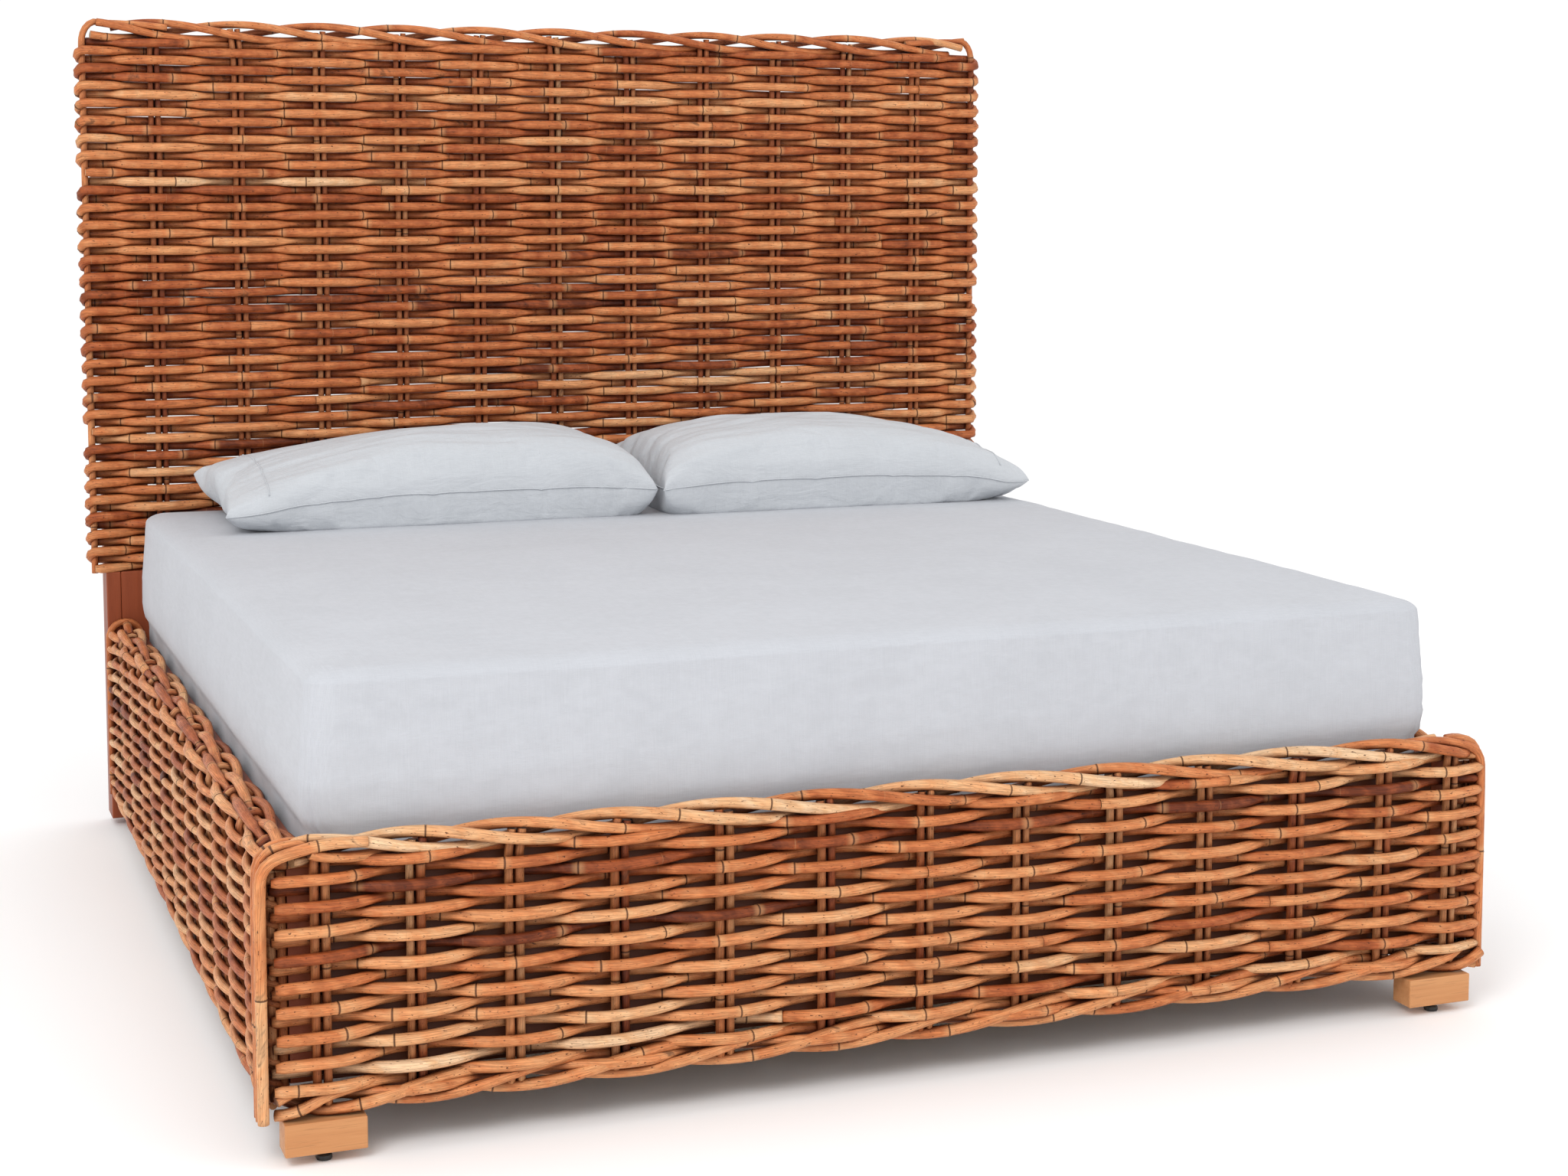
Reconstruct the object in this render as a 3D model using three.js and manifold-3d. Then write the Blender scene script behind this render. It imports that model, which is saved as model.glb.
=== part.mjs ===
// King-size bed woven from rattan rods: tall headboard, low footboard, two woven side rails with
// rounded tops, a slatted base on a centre beam, screw levellers, a mattress in a fitted sheet and
// two pillows.
// Units are millimetres. +X is to the right seen from the foot end, +Y runs from foot to head, +Z is up,
// and the origin lies on the floor under the middle of the bed.

import * as THREE from 'three';
import { mergeVertices } from 'three/addons/utils/BufferGeometryUtils.js';
import Module from 'manifold-3d';

const wasm = await Module();
wasm.setup();

// ---- driving dimensions -------------------------------------------------------------------------

const GAP = 0.3; // clearance between pieces that touch
const GROOVE_SHARE = 0.25; // depth of the grooves between courses, of one layer's thickness
const RIDGE = [0.3, 0.7]; // flat crest of each course's ridge, as shares of the pitch
const STAKE_SPLIT = 1; // half the gap between the two stakes of a pair
const ROD_SIDES = 8;
const CUT_PAST = 1; // how far a cutting block reaches past the faces it cuts
const STAKE_STRIP = 6; // height of the strip that joins a panel's stakes at the bottom

const BED_LENGTH = 2240;
const FOOT_Y = -BED_LENGTH / 2; // front face of the footboard
const HEAD_Y = BED_LENGTH / 2; // back face of the headboard posts

const WOOD_BOTTOM = 17; // height of the wooden feet above the floor
const LEVELLER_RADIUS = 12;
const LEVELLER_PAD = 8;
const STEM_RADIUS = 4;
const STEM_LENGTH = 42;
const BORE_CLEARANCE = 0.5;
const BORE_PLAY = 2; // bore deeper than the stem
const LEVELLER_ROUNDING = 2; // chamfer of the pad's lower rim
const LEVELLER_NECK = 3; // neck wider than the stem, and height of the slope above the pad

// headboard
const HEADBOARD_HALF = 1082;
const HEADBOARD_FRONT = FOOT_Y + 2152;
const HEADBOARD_BOTTOM = 575;
const HEADBOARD_TOP = 1752;
const HEADBOARD_COURSES = 62;
const HEADBOARD_SKIN = 17; // thickness of one layer of weavers
const HEADBOARD_STAKE = 15; // thickness of the stake layer between them
const HEADBOARD_PAIRS = 11;
const HEADBOARD_PAIR_STEP = 182.8;
const HEADBOARD_STAKE_WIDTH = 14;
const HEADBOARD_BORDER_TOP = 1795;
const HEADBOARD_BORDER_WAVE = 16; // height of the border's waves
const HEADBOARD_BORDER_HALF = 1004;
const BORDER_INSET = 4; // border behind the panel's faces
const STAKE_INSET = 4; // stakes short of the panel's top and bottom edges
const EDGE_POLE_X = 1066;
const EDGE_POLE_RADIUS = 7;
const EDGE_POLE_TOP = 1768;

// headboard posts
const POST_OUTER = 1044;
const POST_SEAM = 1012.5;
const POST_INNER = 944;
const POST_FRONT = HEADBOARD_FRONT + 6;
const POST_TOP = 1400;
const CROSS_RAIL_DEPTH = 28;
const CROSS_RAIL_HEIGHT = 90;
const LOWER_RAIL_BOTTOM = 600;
const END_RAIL_SETBACK = 8; // rail under the mattress, behind the headboard's front face
const END_RAIL_DEPTH = 32;
const END_RAIL_BOTTOM = 250;

// footboard
const FOOTBOARD_HALF = 1045; // to the inner side of the end poles
const FOOTBOARD_BOTTOM = 84;
const FOOTBOARD_TOP = 454;
const FOOTBOARD_COURSES = 19;
const FOOTBOARD_SKIN = 18;
const FOOTBOARD_STAKE = 16;
const FOOTBOARD_BORDER_TOP = 488;
const FOOTBOARD_BORDER_WAVE = 10;
const FOOTBOARD_BORDER_HALF = 911;
const FOOTBOARD_BORDER_INSET = 2;
const FOOTBOARD_BORDER_BOTTOM = 66;
const FOOTBOARD_PAIRS = 13;
const FOOTBOARD_PAIR_STEPS = [169, 169, 169, 165, 150, 141]; // from the middle outwards
const FOOTBOARD_STAKE_WIDTH = 14;
const END_POLE_RADIUS = 8.5;
const END_POLE_BOTTOM = 70;
const END_POLE_TOP = 470; // centre line of the run along the top
const END_POLE_BEND = 50;
const END_POLE_RUN = 90;
const INNER_BOARD_BACK = FOOT_Y + 71; // board behind the weave that carries the foot end of the base
const CORNER_NOTCH = 24; // square taken out of the woven layers where the end poles bend

// foot blocks
const BLOCK_INNER = 902;
const BLOCK_OUTER = 1023.5;
const BLOCK_DEPTH = 51;
const BLOCK_SETBACK = 2; // front of the block behind the footboard's front face
const BLOCK_CENTRE_X = (BLOCK_INNER + BLOCK_OUTER) / 2;

// side rails
const RAIL_INNER = 970;
const RAIL_OUTER = 1050;
const RAIL_BOTTOM = 84;
const RAIL_SHOULDER = 440; // height where the rounded top begins
const RAIL_TOP = 470;
const RAIL_BOARD = 36;
const RAIL_SKIN = 14;
const RAIL_COURSES = 24;
const RAIL_PAIRS = 12;
const RAIL_PAIR_STEP = 169;
const RAIL_STAKE_WIDTH = 13;
const RAIL_TRIM = 14; // the pole that edges the rear end of each rail
const RAIL_TRIM_PROUD = 4; // how far it stands outside the weave
const RAIL_TRIM_HAUNCH = 8; // height above the shoulder where its inner edge turns over
const RAIL_TOP_PULL = 14; // sideways reach of the rounded top's curve
const RAIL_TOP_RISE = 0.55; // upward reach of that curve, as a share of its height
const RAIL_TRIM_TAIL = 40; // length of its inner leg
const RAIL_BOARD_BOTTOM = 110;
const RAIL_STAKE_INSET = 10;

// slatted base
const SLAT_TOP = 400;
const SLAT_THICKNESS = 18;
const SLAT_WIDTH = 120;
const SLAT_COUNT = 10;
const SLAT_MARGIN = 10; // first and last slat from the ends of the base
const SLAT_PLAY = 2; // end of a slat short of the side rail's board
const LEDGE_PLAY = 2; // ledge short of the inner board and of the headboard
const LEDGE_WIDTH = 34;
const LEDGE_HEIGHT = 30;
const BEAM_HALF = 30;
const BEAM_HEIGHT = 92;
const CENTRE_LEG_HALF = 30;
const CENTRE_LEG_Y = [-460, 400];

// bedding
const MATTRESS_HALF = 963;
const MATTRESS_LENGTH = 2027;
const MATTRESS_FRONT = FOOT_Y + 74;
const MATTRESS_TOP = 713.5;
const MATTRESS_CORNER = 45;
const SHEET = 1.2;
const SHEET_BOTTOM = 404;
const PILLOW_HALF = [462, 250, 90];
const PILLOW_PULL = 0.05; // how far the middles of its sides are drawn in
const PILLOW_RIM = 0.55; // height of the rim and rise to the crown, as shares of the half height
const PILLOW_CROWN = 1.45;
const PILLOW_UNDERSIDE = 1.8; // how quickly the underside comes down to the sheet
const PILLOW_EDGE_LIFT = 26; // height of the pillow's seam above the sheet
const PILLOWS = { left: [-398, FOOT_Y + 1845], right: [530, FOOT_Y + 1825] };

// heights and depths that follow from them
const SKIN_BACK = HEADBOARD_FRONT + HEADBOARD_SKIN * 2 + HEADBOARD_STAKE;
const FOOT_BACK = FOOT_Y + FOOTBOARD_SKIN * 2 + FOOTBOARD_STAKE;
const LEDGE_TOP = SLAT_TOP - SLAT_THICKNESS - GAP;

// ---- materials ------------------------------------------------------------------------------------

const finish = (color, roughness, metalness = 0) =>
  new THREE.MeshStandardMaterial({ color, roughness, metalness });
const rattan = finish(0xb4733f, 0.55);
const darkRattan = finish(0x8a5230, 0.6);
const redwood = finish(0x9c5333, 0.5);
const beech = finish(0xc98f5f, 0.5);
const softwood = finish(0xd8b98a, 0.7);
const blackPlastic = finish(0x1b1a19, 0.4);
const ticking = finish(0xe6e2d8, 0.9);
const linen = finish(0xd9dce1, 0.9);

// ---- building helpers -----------------------------------------------------------------------------

const bed = new THREE.Group();

function add(name, geometry, material) {
  const mesh = new THREE.Mesh(geometry, material);
  mesh.name = name;
  bed.add(mesh);
}

function box([x0, x1], [y0, y1], [z0, z1]) {
  const geometry = new THREE.BoxGeometry(Math.abs(x1 - x0), y1 - y0, z1 - z0);
  return geometry.translate((x0 + x1) / 2, (y0 + y1) / 2, (z0 + z1) / 2);
}

function shapeOf(points) {
  return new THREE.Shape(points.map(([a, b]) => new THREE.Vector2(a, b)));
}

function extrude(shape, depth) {
  return new THREE.ExtrudeGeometry(shape, { depth, bevelEnabled: false, curveSegments: 4 });
}

// outline in (y, z), extruded from x0 to x1
function extrudeAlongX(shape, x0, x1) {
  const turn = new THREE.Matrix4().makeBasis(
    new THREE.Vector3(0, 1, 0),
    new THREE.Vector3(0, 0, 1),
    new THREE.Vector3(1, 0, 0),
  );
  return extrude(shape, x1 - x0).applyMatrix4(turn).translate(x0, 0, 0);
}

// outline in (x, z), extruded from y0 to y1
function extrudeAlongY(shape, y0, y1) {
  const turn = new THREE.Matrix4().makeBasis(
    new THREE.Vector3(1, 0, 0),
    new THREE.Vector3(0, 0, 1),
    new THREE.Vector3(0, -1, 0),
  );
  return extrude(shape, y1 - y0).applyMatrix4(turn).translate(0, y1, 0);
}

// outline in (x, y), extruded from z0 to z1
function extrudeAlongZ(shape, z0, z1) {
  return extrude(shape, z1 - z0).translate(0, 0, z0);
}

function polygon(radius, sides) {
  const points = [];
  for (let i = 0; i < sides; i += 1) {
    const angle = (2 * Math.PI * (i + 0.5)) / sides;
    points.push([radius * Math.cos(angle), radius * Math.sin(angle)]);
  }
  return shapeOf(points);
}

function tube(curve, radius, steps) {
  return new THREE.ExtrudeGeometry(polygon(radius, ROD_SIDES), { steps, extrudePath: curve });
}

function cylinder(radius, x, y, z0, z1, sides = 16) {
  const geometry = new THREE.CylinderGeometry(radius, radius, z1 - z0, sides);
  return geometry.rotateX(Math.PI / 2).translate(x, y, (z0 + z1) / 2);
}

function toSolid(geometry) {
  const bare = geometry.clone();
  bare.deleteAttribute('normal');
  bare.deleteAttribute('uv');
  const merged = mergeVertices(bare, 1e-4);
  const vertProperties = new Float32Array(merged.attributes.position.array);
  const triVerts = new Uint32Array(merged.index.array);
  return new wasm.Manifold(new wasm.Mesh({ numProp: 3, vertProperties, triVerts }));
}

function fromSolid(solid) {
  const { vertProperties, triVerts } = solid.getMesh();
  const geometry = new THREE.BufferGeometry();
  geometry.setAttribute('position', new THREE.BufferAttribute(vertProperties, 3));
  geometry.setIndex(new THREE.BufferAttribute(triVerts, 1));
  return geometry;
}

const cut = (geometry, tool) => fromSolid(toSolid(geometry).subtract(toSolid(tool)));

// blind bore for a leveller's stem, open at the wooden foot's lower face
function withLevellerBore(geometry, x, y) {
  const tool = cylinder(STEM_RADIUS + BORE_CLEARANCE, x, y, 0, WOOD_BOTTOM + STEM_LENGTH + BORE_PLAY, 12);
  return cut(geometry, tool);
}

// cross-section of a layer of weavers: one ridge for each course on the side at `front`,
// a flat side at `back`; both are distances across the layer
function ribbedOutline(front, back, bottom, top, courses) {
  const pitch = (top - bottom) / courses;
  const groove = front + (back - front) * GROOVE_SHARE;
  const points = [[back, bottom], [groove, bottom]];
  for (let i = 0; i < courses; i += 1) {
    const low = bottom + i * pitch;
    points.push([front, low + pitch * RIDGE[0]], [front, low + pitch * RIDGE[1]], [groove, low + pitch]);
  }
  points.push([back, top]);
  return shapeOf(front < back ? points.reverse() : points);
}

// positions of `count` things `step` apart, centred on zero
function evenly(count, step) {
  return Array.from({ length: count }, (_, i) => (i - (count - 1) / 2) * step);
}

// upright stakes standing on one thin strip, as an outline in (across, up)
function combOutline(centres, toothWidth, [bottom, top]) {
  const points = [];
  for (const centre of centres) {
    for (const side of [-1, 1]) {
      const middle = centre + side * (toothWidth / 2 + STAKE_SPLIT);
      points.push([middle - toothWidth / 2, bottom + STAKE_STRIP], [middle - toothWidth / 2, top]);
      points.push([middle + toothWidth / 2, top], [middle + toothWidth / 2, bottom + STAKE_STRIP]);
    }
  }
  const first = points[0][0];
  const last = points[points.length - 1][0];
  return shapeOf([[last, bottom], ...points.reverse(), [first, bottom]]);
}

// border of strands that rise over each stake pair and cross between them
function wavyOutline(half, step, [bottom, low, high]) {
  const samples = 6;
  const count = Math.floor(half / step) * samples;
  const points = [[-half, bottom], [half, bottom], [half, low]];
  for (let i = count; i >= -count; i -= 1) {
    const height = (low + high) / 2 + ((high - low) / 2) * Math.cos((2 * Math.PI * i) / samples);
    points.push([(i * step) / samples, height]);
  }
  points.push([-half, low]);
  return shapeOf(points);
}

// ---- headboard --------------------------------------------------------------------------------------

// side view of a post: deep below the woven panel, shallow behind it
function postOutline() {
  const behind = SKIN_BACK + GAP;
  const under = HEADBOARD_BOTTOM - GAP;
  return shapeOf([
    [POST_FRONT, WOOD_BOTTOM],
    [HEAD_Y, WOOD_BOTTOM],
    [HEAD_Y, POST_TOP],
    [behind, POST_TOP],
    [behind, under],
    [POST_FRONT, under],
  ]);
}

function buildHeadboard() {
  const postY = (POST_FRONT + HEAD_Y) / 2;
  const innerX = (POST_INNER + POST_SEAM - GAP) / 2;
  for (const [side, sign] of [['left', -1], ['right', 1]]) {
    const outer = [sign * POST_OUTER, sign * POST_SEAM].sort((a, b) => a - b);
    const inner = [sign * (POST_SEAM - GAP), sign * POST_INNER].sort((a, b) => a - b);
    add(`post_${side}_outer_stave`, extrudeAlongX(postOutline(), ...outer), redwood);
    const stave = extrudeAlongX(postOutline(), ...inner);
    add(`post_${side}_inner_stave`, withLevellerBore(stave, sign * innerX, postY), redwood);
    add(`leveller_head_${side}`, leveller(sign * innerX, postY), blackPlastic);
    add(`edge_pole_${side}`, edgePole(sign), rattan);
  }

  const between = [-(POST_INNER - GAP), POST_INNER - GAP];
  const railY = [SKIN_BACK + GAP, SKIN_BACK + GAP + CROSS_RAIL_DEPTH];
  const upperZ = [POST_TOP - CROSS_RAIL_HEIGHT, POST_TOP];
  const lowerZ = [LOWER_RAIL_BOTTOM, LOWER_RAIL_BOTTOM + CROSS_RAIL_HEIGHT];
  add('headboard_upper_rail', box(between, railY, upperZ), redwood);
  add('headboard_lower_rail', box(between, railY, lowerZ), redwood);
  const endRailY = [HEADBOARD_FRONT + END_RAIL_SETBACK, HEADBOARD_FRONT + END_RAIL_SETBACK + END_RAIL_DEPTH];
  add('head_end_rail', box(between, endRailY, [END_RAIL_BOTTOM, LEDGE_TOP]), redwood);

  const ribs = (front, back) =>
    ribbedOutline(front, back, HEADBOARD_BOTTOM, HEADBOARD_TOP, HEADBOARD_COURSES);
  const frontSkin = ribs(HEADBOARD_FRONT, HEADBOARD_FRONT + HEADBOARD_SKIN);
  const backSkin = ribs(SKIN_BACK, SKIN_BACK - HEADBOARD_SKIN);
  const span = [-HEADBOARD_HALF, HEADBOARD_HALF];
  add('headboard_weave_front', extrudeAlongX(frontSkin, ...span), rattan);
  add('headboard_weave_back', extrudeAlongX(backSkin, ...span), rattan);

  const layer = [
    HEADBOARD_FRONT + HEADBOARD_SKIN + GAP,
    HEADBOARD_FRONT + HEADBOARD_SKIN + HEADBOARD_STAKE - GAP,
  ];
  const pairs = evenly(HEADBOARD_PAIRS, HEADBOARD_PAIR_STEP);
  const comb = combOutline(pairs, HEADBOARD_STAKE_WIDTH, [
    HEADBOARD_BOTTOM + STAKE_INSET, HEADBOARD_TOP - STAKE_INSET,
  ]);
  add('headboard_stakes', extrudeAlongY(comb, ...layer), darkRattan);

  const border = wavyOutline(HEADBOARD_BORDER_HALF, HEADBOARD_PAIR_STEP, [
    HEADBOARD_TOP + GAP, HEADBOARD_BORDER_TOP - HEADBOARD_BORDER_WAVE, HEADBOARD_BORDER_TOP,
  ]);
  const borderY = [HEADBOARD_FRONT + BORDER_INSET, SKIN_BACK - BORDER_INSET];
  add('headboard_top_border', extrudeAlongY(border, ...borderY), rattan);
}

// upright rod at the side edge of the headboard, between the two layers of weavers
function edgePole(sign) {
  const y = HEADBOARD_FRONT + HEADBOARD_SKIN + HEADBOARD_STAKE / 2;
  const rod = extrudeAlongZ(polygon(EDGE_POLE_RADIUS, ROD_SIDES), HEADBOARD_BOTTOM, EDGE_POLE_TOP);
  return rod.translate(sign * EDGE_POLE_X, y, 0);
}

// ---- footboard --------------------------------------------------------------------------------------

// stake pairs stand a little closer together towards the two ends
function footboardPairs() {
  const middle = (FOOTBOARD_PAIRS - 1) / 2;
  const reach = [0];
  for (let i = 0; i < middle; i += 1) {
    reach.push(reach[i] + FOOTBOARD_PAIR_STEPS[i]);
  }
  return [...reach.slice(1).reverse().map((x) => -x), ...reach];
}

function withoutTopCorners(geometry) {
  return [-1, 1].reduce((left, sign) => {
    const reach = [sign * (FOOTBOARD_HALF - CORNER_NOTCH), sign * (FOOTBOARD_HALF + CUT_PAST)];
    const height = [FOOTBOARD_TOP - CORNER_NOTCH, FOOTBOARD_TOP + CUT_PAST];
    const depth = [FOOT_Y - CUT_PAST, FOOT_BACK + CUT_PAST];
    return cut(left, box(reach.sort((a, b) => a - b), depth, height));
  }, geometry);
}

function buildFootboard() {
  const ribs = (front, back) =>
    ribbedOutline(front, back, FOOTBOARD_BOTTOM, FOOTBOARD_TOP, FOOTBOARD_COURSES);
  const span = [-FOOTBOARD_HALF, FOOTBOARD_HALF];
  const frontSkin = ribs(FOOT_Y, FOOT_Y + FOOTBOARD_SKIN);
  const backSkin = ribs(FOOT_BACK, FOOT_BACK - FOOTBOARD_SKIN);
  add('footboard_weave_front', withoutTopCorners(extrudeAlongX(frontSkin, ...span)), rattan);
  add('footboard_weave_back', withoutTopCorners(extrudeAlongX(backSkin, ...span)), rattan);

  const layer = [FOOT_Y + FOOTBOARD_SKIN + GAP, FOOT_BACK - FOOTBOARD_SKIN - GAP];
  const comb = combOutline(footboardPairs(), FOOTBOARD_STAKE_WIDTH, [
    FOOTBOARD_BOTTOM + STAKE_INSET, FOOTBOARD_TOP - STAKE_INSET,
  ]);
  add('footboard_stakes', extrudeAlongY(comb, ...layer), darkRattan);

  const borderY = [FOOT_Y + FOOTBOARD_BORDER_INSET, FOOT_BACK - FOOTBOARD_BORDER_INSET];
  const topBorder = wavyOutline(FOOTBOARD_BORDER_HALF, FOOTBOARD_PAIR_STEPS[0], [
    FOOTBOARD_TOP + GAP, FOOTBOARD_BORDER_TOP - FOOTBOARD_BORDER_WAVE, FOOTBOARD_BORDER_TOP,
  ]);
  add('footboard_top_border', extrudeAlongY(topBorder, ...borderY), rattan);
  const bottomZ = [FOOTBOARD_BORDER_BOTTOM, FOOTBOARD_BOTTOM - GAP];
  add('footboard_bottom_border', box(span, borderY, bottomZ), rattan);

  const boardX = [-(RAIL_INNER - GAP), RAIL_INNER - GAP];
  const boardZ = [RAIL_BOARD_BOTTOM, RAIL_SHOULDER - GAP];
  add('footboard_inner_board', box(boardX, [FOOT_BACK + GAP, INNER_BOARD_BACK], boardZ), redwood);

  const blockY = [FOOT_Y + BLOCK_SETBACK, FOOT_Y + BLOCK_SETBACK + BLOCK_DEPTH];
  const blockZ = [WOOD_BOTTOM, FOOTBOARD_BORDER_BOTTOM - GAP];
  for (const [side, sign] of [['left', -1], ['right', 1]]) {
    const reach = [sign * BLOCK_INNER, sign * BLOCK_OUTER].sort((a, b) => a - b);
    const centre = [sign * BLOCK_CENTRE_X, (blockY[0] + blockY[1]) / 2];
    add(`foot_block_${side}`, withLevellerBore(box(reach, blockY, blockZ), ...centre), beech);
    add(`leveller_foot_${side}`, leveller(...centre), blackPlastic);
    add(`end_pole_${side}_front`, endPole(sign, FOOT_Y + END_POLE_RADIUS), rattan);
    add(`end_pole_${side}_back`, endPole(sign, FOOT_BACK - END_POLE_RADIUS), rattan);
  }
}

// pole that edges one end of the footboard and turns inwards along its top
function endPole(sign, y) {
  const x = FOOTBOARD_HALF + GAP + END_POLE_RADIUS;
  const at = (across, up) => new THREE.Vector3(sign * across, y, up);
  const shoulder = END_POLE_TOP - END_POLE_BEND;
  const inside = x - END_POLE_BEND;
  const path = new THREE.CurvePath();
  path.add(new THREE.LineCurve3(at(x, END_POLE_BOTTOM), at(x, shoulder)));
  path.add(new THREE.QuadraticBezierCurve3(at(x, shoulder), at(x, END_POLE_TOP), at(inside, END_POLE_TOP)));
  path.add(new THREE.LineCurve3(at(inside, END_POLE_TOP), at(inside - END_POLE_RUN, END_POLE_TOP)));
  return tube(path, END_POLE_RADIUS - GAP, 20);
}

// ---- side rails -------------------------------------------------------------------------------------

// rounded top of a rail, as an outline in (x, z)
function railTopOutline(sign, inner, outer, shoulder, top) {
  const shape = new THREE.Shape();
  const near = sign * inner;
  const far = sign * outer;
  const lift = (top - shoulder) * RAIL_TOP_RISE;
  shape.moveTo(near, shoulder);
  shape.bezierCurveTo(near, shoulder + lift, near + sign * RAIL_TOP_PULL, top, (near + far) / 2, top);
  shape.bezierCurveTo(far - sign * RAIL_TOP_PULL, top, far, shoulder + lift, far, shoulder);
  return shape;
}

// hoop-shaped pole that closes the rear end of a rail
function railTrim(sign) {
  const outer = RAIL_OUTER + RAIL_TRIM_PROUD;
  const inner = RAIL_INNER + GAP;
  const tail = RAIL_SHOULDER - RAIL_TRIM_TAIL;
  const y = [POST_FRONT - GAP - RAIL_TRIM, POST_FRONT - GAP];
  const shape = railTopOutline(sign, inner, outer, RAIL_SHOULDER, RAIL_TOP + RAIL_TRIM);
  shape.lineTo(sign * outer, RAIL_BOTTOM);
  shape.lineTo(sign * (outer - RAIL_TRIM), RAIL_BOTTOM);
  shape.lineTo(sign * (outer - RAIL_TRIM), RAIL_SHOULDER + RAIL_TRIM_HAUNCH);
  shape.lineTo(sign * ((inner + outer) / 2), RAIL_TOP + CUT_PAST);
  shape.lineTo(sign * (inner + RAIL_TRIM), RAIL_SHOULDER + RAIL_TRIM_HAUNCH);
  shape.lineTo(sign * (inner + RAIL_TRIM), tail);
  shape.lineTo(sign * inner, tail);
  return extrudeAlongY(shape, ...y);
}

function buildSideRails() {
  const start = FOOT_BACK + GAP;
  const end = POST_FRONT - GAP - RAIL_TRIM - GAP;
  const middle = (start + end) / 2;
  const centres = evenly(RAIL_PAIRS, RAIL_PAIR_STEP).map((offset) => middle + offset);
  for (const [side, sign] of [['left', -1], ['right', 1]]) {
    const sorted = (a, b) => [sign * a, sign * b].sort((p, q) => p - q);
    const boardX = sorted(RAIL_INNER, RAIL_INNER + RAIL_BOARD);
    const boardZ = [RAIL_BOARD_BOTTOM, RAIL_SHOULDER - GAP];
    add(`side_rail_${side}_board`, box(boardX, [start, end], boardZ), redwood);

    const ledgeX = sorted(RAIL_INNER - GAP, RAIL_INNER - LEDGE_WIDTH);
    const ledgeY = [INNER_BOARD_BACK + LEDGE_PLAY, HEADBOARD_FRONT - LEDGE_PLAY];
    const ledgeZ = [LEDGE_TOP - LEDGE_HEIGHT, LEDGE_TOP];
    add(`side_rail_${side}_ledge`, box(ledgeX, ledgeY, ledgeZ), softwood);

    const skin = ribbedOutline(
      sign * RAIL_OUTER, sign * (RAIL_OUTER - RAIL_SKIN), RAIL_BOTTOM, RAIL_SHOULDER - GAP, RAIL_COURSES,
    );
    add(`side_rail_${side}_weave`, extrudeAlongY(skin, start, end), rattan);

    const comb = combOutline(centres, RAIL_STAKE_WIDTH, [
      RAIL_BOTTOM + RAIL_STAKE_INSET, RAIL_SHOULDER - RAIL_STAKE_INSET,
    ]);
    const combX = sorted(RAIL_INNER + RAIL_BOARD + GAP, RAIL_OUTER - RAIL_SKIN - GAP);
    add(`side_rail_${side}_stakes`, extrudeAlongX(comb, ...combX), darkRattan);

    const cap = railTopOutline(sign, RAIL_INNER, RAIL_OUTER, RAIL_SHOULDER, RAIL_TOP);
    add(`side_rail_${side}_top_braid`, extrudeAlongY(cap, start, end), rattan);
    add(`side_rail_${side}_end_trim`, railTrim(sign), rattan);
  }
}

// ---- slatted base -----------------------------------------------------------------------------------

function buildBase() {
  const start = INNER_BOARD_BACK + GAP;
  const beamEnd = HEADBOARD_FRONT + END_RAIL_SETBACK - GAP;
  const beamBottom = LEDGE_TOP - BEAM_HEIGHT;
  add('centre_beam', box([-BEAM_HALF, BEAM_HALF], [start, beamEnd], [beamBottom, LEDGE_TOP]), softwood);
  CENTRE_LEG_Y.forEach((y, i) => {
    const leg = box(
      [-CENTRE_LEG_HALF, CENTRE_LEG_HALF],
      [y - CENTRE_LEG_HALF, y + CENTRE_LEG_HALF],
      [WOOD_BOTTOM, beamBottom - GAP],
    );
    add(`centre_leg_${i + 1}`, withLevellerBore(leg, 0, y), softwood);
    add(`leveller_centre_${i + 1}`, leveller(0, y), blackPlastic);
  });

  const pitch = (HEADBOARD_FRONT - start - 2 * SLAT_MARGIN - SLAT_WIDTH) / (SLAT_COUNT - 1);
  const reach = RAIL_INNER - SLAT_PLAY;
  for (let i = 0; i < SLAT_COUNT; i += 1) {
    const y = start + SLAT_MARGIN + i * pitch;
    const slat = box([-reach, reach], [y, y + SLAT_WIDTH], [SLAT_TOP - SLAT_THICKNESS, SLAT_TOP]);
    add(`slat_${String(i + 1).padStart(2, '0')}`, slat, softwood);
  }
}

// screw leveller: a round pad, a neck and a stem that runs up into the wooden foot
function leveller(x, y) {
  const profile = [
    [0, 0], [LEVELLER_RADIUS - LEVELLER_ROUNDING, 0], [LEVELLER_RADIUS, LEVELLER_ROUNDING],
    [LEVELLER_RADIUS, LEVELLER_PAD - 1],
    [STEM_RADIUS + LEVELLER_NECK, LEVELLER_PAD + LEVELLER_NECK],
    [STEM_RADIUS + LEVELLER_NECK, WOOD_BOTTOM - GAP],
    [STEM_RADIUS, WOOD_BOTTOM - GAP], [STEM_RADIUS, WOOD_BOTTOM + STEM_LENGTH],
    [0, WOOD_BOTTOM + STEM_LENGTH],
  ].map(([radius, height]) => new THREE.Vector2(radius, height));
  return new THREE.LatheGeometry(profile, 16).rotateX(Math.PI / 2).translate(x, y, 0);
}

// ---- bedding ----------------------------------------------------------------------------------------

function roundedBlock(half, y0, y1, z0, z1, corner) {
  const shape = new THREE.Shape();
  shape.moveTo(-half + corner, y0);
  shape.lineTo(half - corner, y0);
  shape.absarc(half - corner, y0 + corner, corner, -Math.PI / 2, 0);
  shape.absarc(half - corner, y1 - corner, corner, 0, Math.PI / 2);
  shape.absarc(-half + corner, y1 - corner, corner, Math.PI / 2, Math.PI);
  shape.absarc(-half + corner, y0 + corner, corner, Math.PI, 1.5 * Math.PI);
  return extrudeAlongZ(shape, z0, z1);
}

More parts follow.
